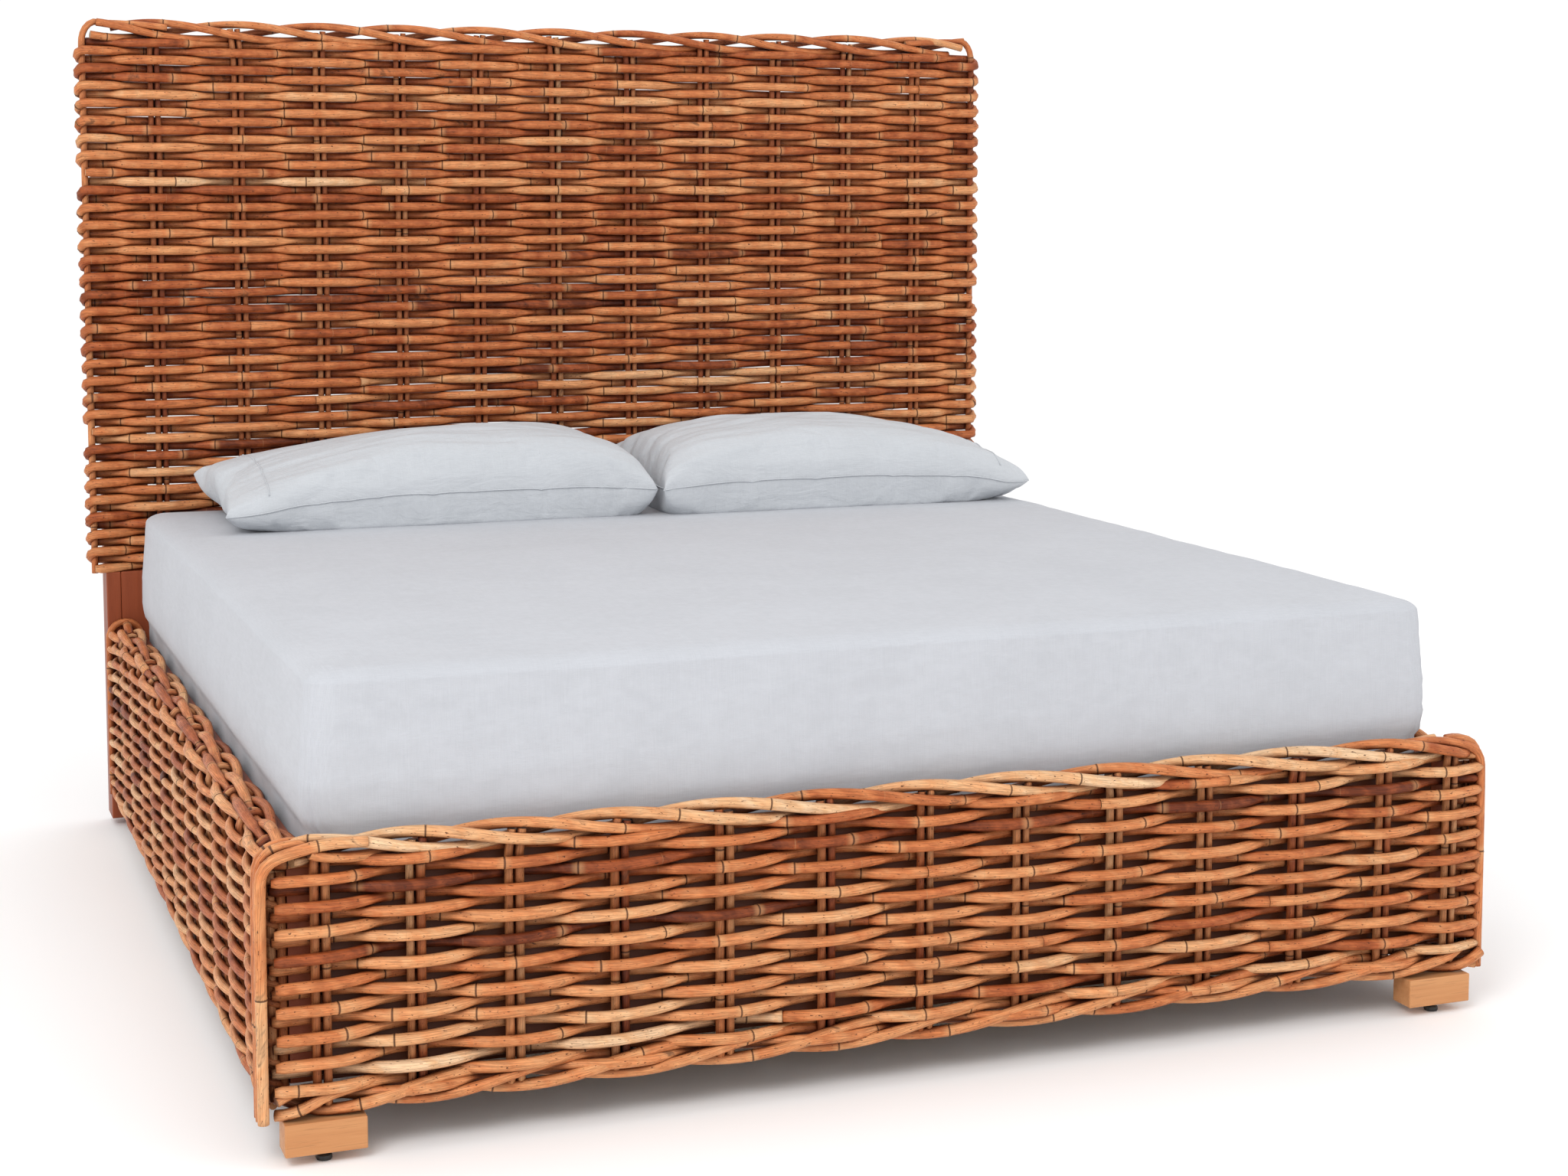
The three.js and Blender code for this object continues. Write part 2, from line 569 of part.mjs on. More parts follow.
// closed cushion that is flat below and rises to a full crown, on a rectangular plan
function pillow([cx, cy]) {
  const [halfX, halfY, halfZ] = PILLOW_HALF;
  const columns = 14;
  const rows = 8;
  const geometry = new THREE.BoxGeometry(2, 2, 2, columns, rows, 2);
  const position = geometry.attributes.position;
  const base = MATTRESS_TOP + 2 * GAP + SHEET;
  for (let i = 0; i < position.count; i += 1) {
    const u = position.getX(i);
    const v = position.getY(i);
    const w = position.getZ(i);
    const fullness = Math.sqrt((1 - u ** 4) * (1 - v ** 4));
    const pull = 1 - PILLOW_PULL * (1 - Math.abs(u * v));
    const top = halfZ * (PILLOW_RIM + PILLOW_CROWN * fullness);
    const bottom = PILLOW_EDGE_LIFT * (1 - Math.min(1, fullness * PILLOW_UNDERSIDE));
    const height = bottom + (top - bottom) * (w + 1) / 2;
    position.setXYZ(i, cx + u * halfX * pull, cy + v * halfY * pull, base + height);
  }
  return geometry;
}

function buildBedding() {
  const back = MATTRESS_FRONT + MATTRESS_LENGTH;
  const core = roundedBlock(
    MATTRESS_HALF, MATTRESS_FRONT, back, SLAT_TOP + GAP, MATTRESS_TOP, MATTRESS_CORNER,
  );
  add('mattress', core, ticking);
  const hollow = roundedBlock(
    MATTRESS_HALF + GAP, MATTRESS_FRONT - GAP, back + GAP, 0, MATTRESS_TOP + GAP, MATTRESS_CORNER + GAP,
  );
  const outside = roundedBlock(
    MATTRESS_HALF + GAP + SHEET, MATTRESS_FRONT - GAP - SHEET, back + GAP + SHEET,
    SHEET_BOTTOM, MATTRESS_TOP + GAP + SHEET, MATTRESS_CORNER + GAP + SHEET,
  );
  add('fitted_sheet', cut(outside, hollow), linen);
  for (const [side, centre] of Object.entries(PILLOWS)) {
    add(`pillow_${side}`, pillow(centre), linen);
  }
}

buildHeadboard();
buildFootboard();
buildSideRails();
buildBase();
buildBedding();

export default bed;
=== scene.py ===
"""King-size woven rattan bed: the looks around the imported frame. Metres, +Z up, +Y towards the head."""

import math

import bpy
import numpy as np
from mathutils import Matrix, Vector


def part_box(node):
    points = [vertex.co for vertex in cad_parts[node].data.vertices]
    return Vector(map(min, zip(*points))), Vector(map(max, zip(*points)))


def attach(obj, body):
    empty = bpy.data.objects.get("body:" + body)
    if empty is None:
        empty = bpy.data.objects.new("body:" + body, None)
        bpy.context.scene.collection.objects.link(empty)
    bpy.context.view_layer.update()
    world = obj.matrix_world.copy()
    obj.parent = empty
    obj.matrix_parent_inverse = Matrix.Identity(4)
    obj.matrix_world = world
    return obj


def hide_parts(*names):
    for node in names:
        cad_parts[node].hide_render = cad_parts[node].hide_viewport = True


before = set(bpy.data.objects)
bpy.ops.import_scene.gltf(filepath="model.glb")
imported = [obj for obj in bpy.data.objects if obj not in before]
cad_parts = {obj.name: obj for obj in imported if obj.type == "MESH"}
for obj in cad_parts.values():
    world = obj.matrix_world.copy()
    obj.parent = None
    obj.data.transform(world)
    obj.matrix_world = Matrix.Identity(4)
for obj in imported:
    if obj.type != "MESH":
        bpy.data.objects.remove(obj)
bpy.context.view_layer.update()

MM = 0.001
SIDES = (("left", -1), ("right", 1))


# ---- places read from the frame ----


def span(node, axis):
    """Lowest and highest coordinate of a CAD node along one axis."""
    low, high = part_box(node)
    return low["xyz".index(axis)], high["xyz".index(axis)]


HEAD_FRONT, HEAD_BACK = span("headboard_weave_front", "y")[0], span("headboard_weave_back", "y")[1]
HEAD_BOTTOM, HEAD_TOP = span("headboard_weave_front", "z")
HEAD_BORDER_TOP = span("headboard_top_border", "z")[1]
HEAD_POLE_X = sum(span("edge_pole_right", "x")) / 2
FOOT_FRONT, FOOT_BACK = span("footboard_weave_front", "y")[0], span("footboard_weave_back", "y")[1]
FOOT_BOTTOM, FOOT_TOP = span("footboard_weave_front", "z")
FOOT_BORDER_TOP = span("footboard_top_border", "z")[1]
FOOT_BORDER_BOTTOM = span("footboard_bottom_border", "z")[0]
END_POLE_OUTER = span("end_pole_right_front", "x")[1]
END_POLE_TOP = span("end_pole_right_front", "z")[1]
RAIL_START, RAIL_END = span("side_rail_right_weave", "y")
RAIL_OUTER = span("side_rail_right_weave", "x")[1]
RAIL_BOTTOM = span("side_rail_right_weave", "z")[0]
RAIL_TOP = span("side_rail_right_top_braid", "z")[1]
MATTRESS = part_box("mattress")
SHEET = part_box("fitted_sheet")

HEAD_PITCH = 182.8 * MM
HEAD_PAIRS = [HEAD_PITCH * i for i in range(-5, 6)]
HEAD_COURSES = 62
FOOT_STEPS = [169, 169, 169, 165, 150, 141]
FOOT_RIGHT_SHIFTS = [0, 0, 0, 0, 11, 33, 27]
FOOT_COURSES = 19
RAIL_PITCH = 169 * MM
RAIL_PAIR_COUNT = 12
RAIL_FACE_COURSES = 23


# ---- camera ----


def camera():
    data = bpy.data.cameras.new("camera")
    cam = bpy.data.objects.new("camera", data)
    bpy.context.scene.collection.objects.link(cam)
    cam.location = (-1.6054, -4.7126, 1.4164)
    cam.rotation_euler = (math.radians(90 - 5.5), 0, math.radians(-20.75))
    data.sensor_width = 36
    data.lens = 58.22
    data.shift_x = -0.0021
    data.shift_y = -0.097
    data.clip_end = 100
    bpy.context.scene.camera = cam


# ---- material building ----


SHADER_SOCKETS = {
    "specular": "Specular IOR Level",
    "sheen_weight": "Sheen Weight",
    "sheen_roughness": "Sheen Roughness",
    "metallic": "Metallic",
}


class Shader:
    """A material, and short calls that add nodes. Inputs are numbers, colours or other nodes' outputs."""

    def __init__(self, name):
        self.material = bpy.data.materials.new(name)
        self.material.use_nodes = True
        self.tree = self.material.node_tree
        self.surface = self.tree.nodes["Principled BSDF"]

    def put(self, socket, value):
        if isinstance(value, bpy.types.NodeSocket):
            self.tree.links.new(value, socket)
        elif socket.type == "RGBA":
            socket.default_value = (*value, 1)
        else:
            socket.default_value = value

    def node(self, kind, inputs=(), **settings):
        made = self.tree.nodes.new("ShaderNode" + kind)
        for key, value in settings.items():
            setattr(made, key, value)
        for key, value in dict(inputs).items():
            self.put(made.inputs[key], value)
        return made

    def math(self, operation, a, b=0.0):
        return self.node("Math", {0: a, 1: b}, operation=operation).outputs[0]

    def attribute(self, name):
        return self.node("Attribute", attribute_name=name).outputs["Fac"]

    def ramp(self, factor, stops):
        made = self.node("ValToRGB", {0: factor})
        while len(made.color_ramp.elements) < len(stops):
            made.color_ramp.elements.new(0.5)
        for element, (place, colour) in zip(made.color_ramp.elements, stops):
            element.position = place
            element.color = (*colour, 1)
        return made.outputs["Color"]

    def steps(self, value, low, high, to_low=0.0, to_high=1.0):
        """value mapped from low..high to to_low..to_high and held there."""
        made = self.node("MapRange", {0: value, 1: low, 2: high, 3: to_low, 4: to_high})
        made.interpolation_type = "SMOOTHSTEP"
        return made.outputs[0]

    def noise(self, place, scale, detail=2.0, roughness=0.5, distortion=0.0):
        inputs = {"Vector": place, "Scale": scale, "Detail": detail, "Roughness": roughness}
        return self.node("TexNoise", {**inputs, "Distortion": distortion}).outputs["Fac"]

    def stretched_noise(self, place, scale, *settings):
        """Noise with its own scale along each axis."""
        stretched = self.node("Mapping", {"Vector": place, "Scale": scale}).outputs[0]
        return self.noise(stretched, 1.0, *settings)

    def place(self):
        """Where a point of the surface lies in its object, in metres."""
        return self.node("TexCoord").outputs["Object"]

    def mix(self, factor, a, b, blend="MIX"):
        made = self.node("Mix", data_type="RGBA", blend_type=blend)
        self.put(made.inputs[0], factor)
        self.put(made.inputs[6], a)
        self.put(made.inputs[7], b)
        return made.outputs[2]

    def vector(self, x, y, z):
        return self.node("CombineXYZ", {0: x, 1: y, 2: z}).outputs[0]

    def bump(self, height, distance, strength=1.0):
        return self.node("Bump", {"Height": height, "Distance": distance, "Strength": strength}).outputs[0]

    def finish(self, colour, roughness, normal=None, **fixed):
        self.put(self.surface.inputs["Base Color"], colour)
        self.put(self.surface.inputs["Roughness"], roughness)
        if normal is not None:
            self.put(self.surface.inputs["Normal"], normal)
        for key, value in fixed.items():
            self.surface.inputs[SHADER_SOCKETS[key]].default_value = value
        return self.material


def rattan_material(name, dark=1.0):
    """Peeled rattan: a tint for each internode, long fibres, rings at the nodes, specks, and painted shade
    that darkens the crevices between rods.
    """
    s = Shader(name)
    uv = s.node("UVMap", uv_map="rod").outputs[0]
    parts = s.node("SeparateXYZ", {0: uv})
    along, around = parts.outputs[0], s.math("MULTIPLY", parts.outputs[1], 2 * math.pi)
    side, up = s.math("COSINE", around), s.math("SINE", around)
    tint, gap = s.attribute("tint"), s.attribute("gap")
    stain, cut = s.attribute("stain"), s.attribute("cut")
    rod = s.math("MULTIPLY", s.attribute("rod"), 31.0)

    def coordinates(length_scale, round_scale):
        return s.vector(
            s.math("MULTIPLY", along, length_scale),
            s.math("ADD", s.math("MULTIPLY", side, round_scale), rod),
            s.math("MULTIPLY", up, round_scale),
        )

    mottle = s.noise(coordinates(9.0, 0.35), 1.0, 3.0, 0.6)
    fibre = s.noise(coordinates(14.0, 6.0), 1.0, 4.0, 0.65)
    fine = s.noise(coordinates(60.0, 9.0), 1.0, 2.0, 0.6)
    speck = s.noise(coordinates(150.0, 3.6), 1.0, 1.0, 0.5)
    level = s.math("ADD", s.math("MULTIPLY", s.math("SUBTRACT", mottle, 0.5), 0.6), tint)
    tones = [
        (0.0, (0.130, 0.026, 0.007)),
        (0.22, (0.37, 0.088, 0.025)),
        (0.45, (0.585, 0.193, 0.065)),
        (0.68, (0.70, 0.310, 0.128)),
        (0.88, (0.75, 0.425, 0.215)),
        (1.0, (0.79, 0.520, 0.310)),
    ]
    base = s.ramp(level, [(at, [channel * dark for channel in tone]) for at, tone in tones])
    streak = s.steps(fibre, 0.32, 0.68, 0.62, 1.16)
    grey = s.node("CombineColor", {0: streak, 1: streak, 2: streak}).outputs[0]
    base = s.mix(1.0, base, grey, "MULTIPLY")
    grime = s.math("MULTIPLY", s.steps(fine, 0.58, 0.74), 0.40)
    base = s.mix(grime, base, (0.13, 0.040, 0.014))
    specks = s.math("MULTIPLY", s.steps(speck, 0.68, 0.74), 0.85)
    base = s.mix(specks, base, (0.040, 0.012, 0.006))
    stained = s.steps(s.math("ADD", s.math("MULTIPLY", stain, 0.40), mottle), 0.94, 1.06)
    base = s.mix(s.math("MULTIPLY", stained, 0.7), base, (0.075, 0.026, 0.012))
    distance = s.math("ABSOLUTE", gap)
    halo = s.steps(distance, 0.0020, 0.014, 0.34, 0.0)
    base = s.mix(halo, base, (0.66, 0.37, 0.17))
    ring = s.steps(distance, 0.0006, 0.0022, 0.85, 0.0)
    base = s.mix(ring, base, (0.055, 0.018, 0.008))
    base = s.mix(s.math("MULTIPLY", cut, 0.75), base, (0.58, 0.36, 0.19))
    # Painted shade: ambient occlusion darkens the colour in the crevices and gaps between rods, where shade
    # falls.
    painted_shade_occlusion = s.node("AmbientOcclusion", {"Distance": 0.024}, samples=6).outputs["AO"]
    shade = s.ramp(
        painted_shade_occlusion,
        [
            (0.05, (0.02, 0.003, 0.001)),
            (0.38, (0.26, 0.13, 0.07)),
            (0.70, (0.84, 0.77, 0.71)),
            (0.94, (1.0, 1.0, 1.0)),
        ],
    )
    base = s.mix(1.0, base, shade, "MULTIPLY")
    rough = s.steps(fibre, 0.3, 0.7, 0.56, 0.40)
    height = s.math("ADD", s.math("MULTIPLY", fibre, 0.5), s.math("MULTIPLY", fine, 0.5))
    return s.finish(base, rough, s.bump(height, 0.0009, 0.7), specular=0.22)


def wood_material(name, light, deep, grain_axis):
    """Planed wood with long grain along one axis, pores, and slightly darker, worn edges."""
    s = Shader(name)
    place = s.place()
    scale = [46.0, 46.0, 46.0]
    scale[grain_axis] = 2.2
    figure = s.stretched_noise(place, scale, 5.0, 0.6, 0.8)
    fine = [420.0, 420.0, 420.0]
    fine[grain_axis] = 14.0
    pores = s.stretched_noise(place, fine, 2.0, 0.6)
    broad = s.noise(place, 3.2, 2.0)
    level = s.math("ADD", s.math("MULTIPLY", figure, 0.75), s.math("MULTIPLY", broad, 0.25))
    between = [(a + b) / 2 for a, b in zip(light, deep)]
    colour = s.ramp(level, [(0.30, deep), (0.50, between), (0.68, light)])
    open_pores = s.math("MULTIPLY", s.steps(pores, 0.60, 0.70), 0.35)
    colour = s.mix(open_pores, colour, [c * 0.45 for c in deep])
    edge = s.node("NewGeometry").outputs["Pointiness"]
    worn = s.math("MULTIPLY", s.steps(edge, 0.52, 0.60), 0.25)
    colour = s.mix(worn, colour, [min(1, c * 1.3) for c in light])
    normal = s.bump(s.math("ADD", figure, s.math("MULTIPLY", pores, 0.5)), 0.0006, 0.5)
    return s.finish(colour, s.steps(figure, 0.3, 0.7, 0.50, 0.38), normal, specular=0.25)


def linen_material(name, tone, slub=1.0, crumple=0.0):
    """Plain-weave cloth: crossing threads with thick and thin places, and a soft sheen."""
    s = Shader(name)
    place = s.place()
    warp = s.stretched_noise(place, (1400, 30, 30), 2.0)
    weft = s.stretched_noise(place, (30, 1400, 30), 2.0)
    rise = s.stretched_noise(place, (60, 60, 1400), 2.0)
    threads = s.math("ADD", s.math("ADD", warp, weft), rise)
    cloud = s.noise(place, 5.0, 3.0, 0.6)
    level = s.steps(s.math("ADD", s.math("MULTIPLY", threads, 0.5), s.math("MULTIPLY", cloud, 0.5)), 0.7, 1.3)
    colour = s.ramp(level, [(0.0, [c * 0.93 for c in tone]), (1.0, [min(1, c * 1.04) for c in tone])])
    crease = s.stretched_noise(place, (9, 30, 24), 4.0, 0.55, 0.6)
    height = s.math("ADD", s.math("MULTIPLY", threads, 0.08 * slub), s.math("MULTIPLY", crease, crumple))
    normal = s.bump(height, 0.006, 0.6)
    return s.finish(colour, 0.86, normal, sheen_weight=0.08, sheen_roughness=0.5)


def plastic_material(name):
    """Moulded black plastic with a fine texture."""
    s = Shader(name)
    place = s.place()
    grain = s.noise(place, 900.0, 2.0)
    dust = s.noise(place, 60.0, 3.0)
    colour = s.ramp(dust, [(0.35, (0.012, 0.012, 0.012)), (0.75, (0.035, 0.033, 0.030))])
    return s.finish(colour, s.steps(dust, 0.3, 0.7, 0.32, 0.55), s.bump(grain, 0.0003, 0.4))


def steel_material(name):
    """Zinc-plated steel of the leveller stems."""
    s = Shader(name)
    place = s.place()
    cloud = s.noise(place, 140.0, 3.0)
    colour = s.ramp(cloud, [(0.3, (0.42, 0.42, 0.40)), (0.7, (0.62, 0.61, 0.58))])
    return s.finish(colour, s.steps(cloud, 0.3, 0.7, 0.30, 0.45), metallic=1.0)


# ---- mesh building ----


def put_in_scene(name, mesh, material, body):
    piece = bpy.data.objects.new(name, mesh)
    bpy.context.scene.collection.objects.link(piece)
    mesh.materials.append(material)
    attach(piece, body)
    return piece


def mesh_of(name, points, faces, smooth=True):
    mesh = bpy.data.meshes.new(name)
    mesh.from_pydata(np.asarray(points).tolist(), [], faces)
    mesh.polygons.foreach_set("use_smooth", [smooth] * len(mesh.polygons))
    mesh.update()
    return mesh


def along_line(line):
    return np.concatenate([[0], np.cumsum(np.linalg.norm(np.diff(line, axis=0), axis=1))])


def resample(line, at, old):
    return np.stack([np.interp(at, old, line[:, k]) for k in range(3)], axis=1)


class Rods:
    """Round rods with nodes, gathered into one mesh. Each rod is a closed tube."""

    RING_STEP = 0.012  # between rings of points along a rod
    TIP = 7 * MM  # length over which a rod's end is rounded
    FIRST_NODE = (0.02, 0.22)  # from the start of a rod to its first node
    NODE_SPACING = (0.17, 0.36)
    NODE_MARGIN = 0.012  # no node closer than this to a rod's far end
    NODE_RINGS = np.array([-5.0, -1.1, 0.0, 1.1, 5.0]) * MM
    NODE_SWELL = np.array([1.0, 1.07, 0.965, 1.06, 1.0])
    FAR_FROM_NODES = 0.05  # value of "gap" on a rod without nodes

    def __init__(self, seed, sides, tint):
        self.rng = np.random.default_rng(seed)
        self.sides, self.tint = sides, tint
        self.points, self.faces, self.uv, self.flat = [], [], [], []
        self.values = {"tint": [], "gap": [], "stain": [], "rod": []}
        self.count = 0

    def pick_tint(self):
        middle, spread = self.tint
        kind = self.rng.random()
        if kind < 0.10:
            middle -= 0.22
        elif kind > 0.86:
            middle += 0.20
        return float(np.clip(self.rng.normal(middle, spread), 0.03, 0.98))

    def add(self, line, radius, up, taper=(1.0, 1.0)):
        line = np.asarray(line, float)
        up = np.broadcast_to(np.asarray(up, float), line.shape)
        old = along_line(line)
        total = old[-1]
        rng = self.rng
        joints = []
        place = rng.uniform(*self.FIRST_NODE)
        while place < total - self.NODE_MARGIN:
            joints.append(place)
            place += rng.uniform(*self.NODE_SPACING)
        joints = np.array(joints)
        base = np.linspace(0, total, max(2, int(round(total / self.RING_STEP)) + 1))
        if len(joints):
            near = np.abs(base[:, None] - joints[None, :]).min(1) < 6 * MM
            near[[0, -1]] = False
            rings = (joints[:, None] + self.NODE_RINGS[None, :]).ravel()
            at = np.concatenate([base[~near], rings[(rings > 0) & (rings < total)]])
        else:
            at = base
        at = np.unique(np.round(at, 7))
        centre, lift = resample(line, at, old), resample(up, at, old)
        piece = np.searchsorted(joints, at, side="left") if len(joints) else np.zeros(len(at), int)
        size = rng.uniform(0.955, 1.045, len(joints) + 1)
        shade = self.pick_tint() + rng.normal(0, 0.075, len(joints) + 1)
        thick = radius * size[piece]
        gap = np.full(len(at), self.FAR_FROM_NODES)
        if len(joints):
            signed = at[:, None] - joints[None, :]
            nearest = np.abs(signed).argmin(1)
            gap = signed[np.arange(len(at)), nearest]
            thick = thick * np.interp(gap, self.NODE_RINGS, self.NODE_SWELL)
        tip = min(self.TIP, total / 3)
        thick = thick * np.interp(at, [0, tip, total - tip, total], [taper[0], 1, 1, taper[1]])
        self.tube(at, centre, lift, thick, np.clip(shade, 0.02, 0.98)[piece], gap)

    def tube(self, at, centre, lift, thick, shade, gap):
        n, k = len(at), self.sides
        tangent = np.gradient(centre, axis=0)
        tangent /= np.linalg.norm(tangent, axis=1)[:, None]
        b = lift - (lift * tangent).sum(1)[:, None] * tangent
        b /= np.linalg.norm(b, axis=1)[:, None]
        a = np.cross(b, tangent)
        angle = 2 * np.pi * (np.arange(k) + 0.5) / k
        ring = np.cos(angle)[None, :, None] * a[:, None, :] + np.sin(angle)[None, :, None] * b[:, None, :]
        points = centre[:, None, :] + ring * thick[:, None, None]
        first = self.count
        index = first + np.arange(n * k).reshape(n, k)
        turned = np.roll(index, -1, axis=1)
        quads = np.stack([index[:-1], turned[:-1], turned[1:], index[1:]], axis=-1).reshape(-1, 4)
        start = self.rng.uniform(0, 40)
        u = np.repeat((at + start)[:, None], k, axis=1)
        v = np.repeat((np.arange(k) / k)[None, :], n, axis=0)
        uv = np.stack(
            [
                np.stack([u[:-1], v[:-1]], -1),
                np.stack([u[:-1], v[:-1] + 1 / k], -1),
                np.stack([u[1:], v[1:] + 1 / k], -1),
                np.stack([u[1:], v[1:]], -1),
            ],
            axis=2,
        ).reshape(-1, 2)
        self.points.append(points.reshape(-1, 3))
        self.faces += quads.tolist()
        self.faces += [index[0][::-1].tolist(), index[-1].tolist()]
        self.uv += [uv, np.stack([u[0], v[0]], -1)[::-1], np.stack([u[-1], v[-1]], -1)]
        self.flat += [False] * len(quads) + [True, True]
        stain = self.rng.random() ** 3
        for key, value in (("tint", shade), ("gap", gap)):
            self.values[key].append(np.repeat(value, k))
        self.values["stain"].append(np.full(n * k, stain))
        self.values["rod"].append(np.full(n * k, self.rng.random()))
        self.count += n * k

    def build(self, name, material, slot, *replaced):
        mesh = bpy.data.meshes.new(name)
        mesh.from_pydata(np.concatenate(self.points).tolist(), [], self.faces)
        layer = mesh.uv_layers.new(name="rod")
        layer.data.foreach_set("uv", np.concatenate(self.uv).astype(np.float32).ravel())
        for key, values in self.values.items():
            mesh.attributes.new(key, "FLOAT", "POINT").data.foreach_set(
                "value", np.concatenate(values).astype(np.float32)
            )
        flat = np.array(self.flat)
        mesh.attributes.new("cut", "FLOAT", "FACE").data.foreach_set("value", flat.astype(np.float32))
        mesh.polygons.foreach_set("use_smooth", ~flat)
        mesh.update()
        piece = put_in_scene(name, mesh, material, "bed_frame")
        if replaced:
            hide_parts(*replaced)


def ripple(seed, reach_a, reach_c, size):
    """A smooth random height over a panel, as a sum of waves about as long as the reaches."""
    rng = np.random.default_rng(seed)
    waves = [
        (rng.normal(0, 1) / reach_a, rng.normal(0, 1) / reach_c, rng.uniform(0, 2 * math.pi))
        for _ in range(9)
    ]

    def height(a, c):
        return size * sum(np.sin(2 * math.pi * (p * a + q * c) + f) for p, q, f in waves) / 3

    return height


class Panel:
    """A woven surface. a runs along the courses, c across them, and n is the distance outwards."""

    def __init__(
        self, place, uprights, courses, swing, radius, seed, wander, waver=0.45 * MM, settle=None,
    ):
        self.place, self.uprights, self.courses = place, np.array(uprights), np.array(courses)
        self.swing, self.radius = swing, radius
        self.drift = ripple(seed, 0.55, 0.16, wander)
        self.settle = settle
        self.jitter = np.random.default_rng(seed + 1).normal(0, waver, (len(courses), len(uprights) * 2))

    def shift(self, i, a):
        grid = np.linspace(self.uprights[0], self.uprights[-1], self.jitter.shape[1])
        return self.drift(a, self.courses[i]) + np.interp(a, grid, self.jitter[i])

    def course(self, i, steps):
        """Points of one course from its first upright to its last, in panel coordinates.

        With settle, a course stays on one side beyond the first and last pair, and its swing shrinks there.
        """
        u = np.linspace(0, len(self.uprights) - 1, (len(self.uprights) - 1) * steps + 1)
        a = np.interp(u, np.arange(len(self.uprights)), self.uprights)
        last = len(self.uprights) - 1
        crossing = u if self.settle is None else np.clip(u, 1, last - 1)
        wave = np.cos(math.pi * (crossing + i))
        wave = 1.16 * wave - 0.16 * wave**3
        if self.settle is not None:
            wave = wave * np.interp(u, [0, 1, last - 1, last], [self.settle[0], 1, 1, self.settle[1]])
        c = self.courses[i] + self.shift(i, a)
        return np.stack([a, c, self.swing * wave], axis=1)

    def turn(self, i, j, end, reach, steps=9):
        """Half turn round the first (end 0) or last (end -1) upright, from course i to course j."""
        phi = np.linspace(0, math.pi, steps + 2)[1:-1]
        pole = self.uprights[end]
        out = 1 if end else -1
        start, stop = (self.courses[k] + self.shift(k, pole) for k in (i, j))
        side = (-1) ** (i + (len(self.uprights) - 1 if end else 0))
        along = pole + out * reach * np.sin(phi)
        blend = (1 - np.cos(phi)) / 2
        across = start + (stop - start) * blend
        return np.stack([along, across, side * self.swing * np.cos(phi)], axis=1)

    def snake(self, first, last, steps, reach):
        """One long line that runs to and fro over the courses first to last - 1, turning at the ends."""
        parts = []
        for i in range(first, last):
            row = self.course(i, steps)
            back = (i % 2) == 1
            parts.append(row[::-1] if back else row)
            if i + 1 < last:
                parts.append(self.turn(i, i + 1, 0 if back else -1, reach))
        return np.concatenate(parts)

    def world(self, line):
        point = self.place(line[:, 0], line[:, 1], line[:, 2])
        above = self.place(line[:, 0], line[:, 1] + 1e-4, line[:, 2])
        up = above - point
        return point, up / np.linalg.norm(up, axis=1)[:, None]


def lay_rods(rods, panel, line, lengths):
    """Cuts a long line into rods of random length, end to end, and adds them."""
    point, up = panel.world(line)
    at = along_line(point)
    start = 0.0
    while start < at[-1] - 0.05:
        stop = min(at[-1], start + rods.rng.uniform(*lengths))
        if at[-1] - stop < 0.4:
            stop = at[-1]
        inside = (at > start) & (at < stop - 0.6 * MM)
        keep = np.concatenate([[start], at[inside], [stop - 0.6 * MM]])
        rods.add(
            resample(point, keep, at), panel.radius * rods.rng.uniform(0.96, 1.05), resample(up, keep, at),
            (0.74 if start == 0 else 1, 0.74 if stop == at[-1] else 1),
        )
        start = stop


def twist(panel, rods, radius, middle, rise, depth, ends, phase):
    """Three strands that wind round each other along a border, one of them over each upright."""
    strands, steps = 3, 14
    index = np.arange(len(panel.uprights))
    for k in range(strands):
        low, high = ends[k] if isinstance(ends[0], tuple) else ends
        u_low, u_high = (np.interp(x, panel.uprights, index) for x in (low, high))
        u = np.linspace(u_low, u_high, int((u_high - u_low) * steps))
        a = np.interp(u, index, panel.uprights)
        angle = 2 * math.pi * (u - k + phase) / strands
        line = np.stack([a, middle + rise * np.cos(angle), depth * np.sin(angle)], axis=1)
        point, up = panel.world(line)
        rods.add(point, radius * rods.rng.uniform(0.95, 1.05), up)


# ---- headboard ----


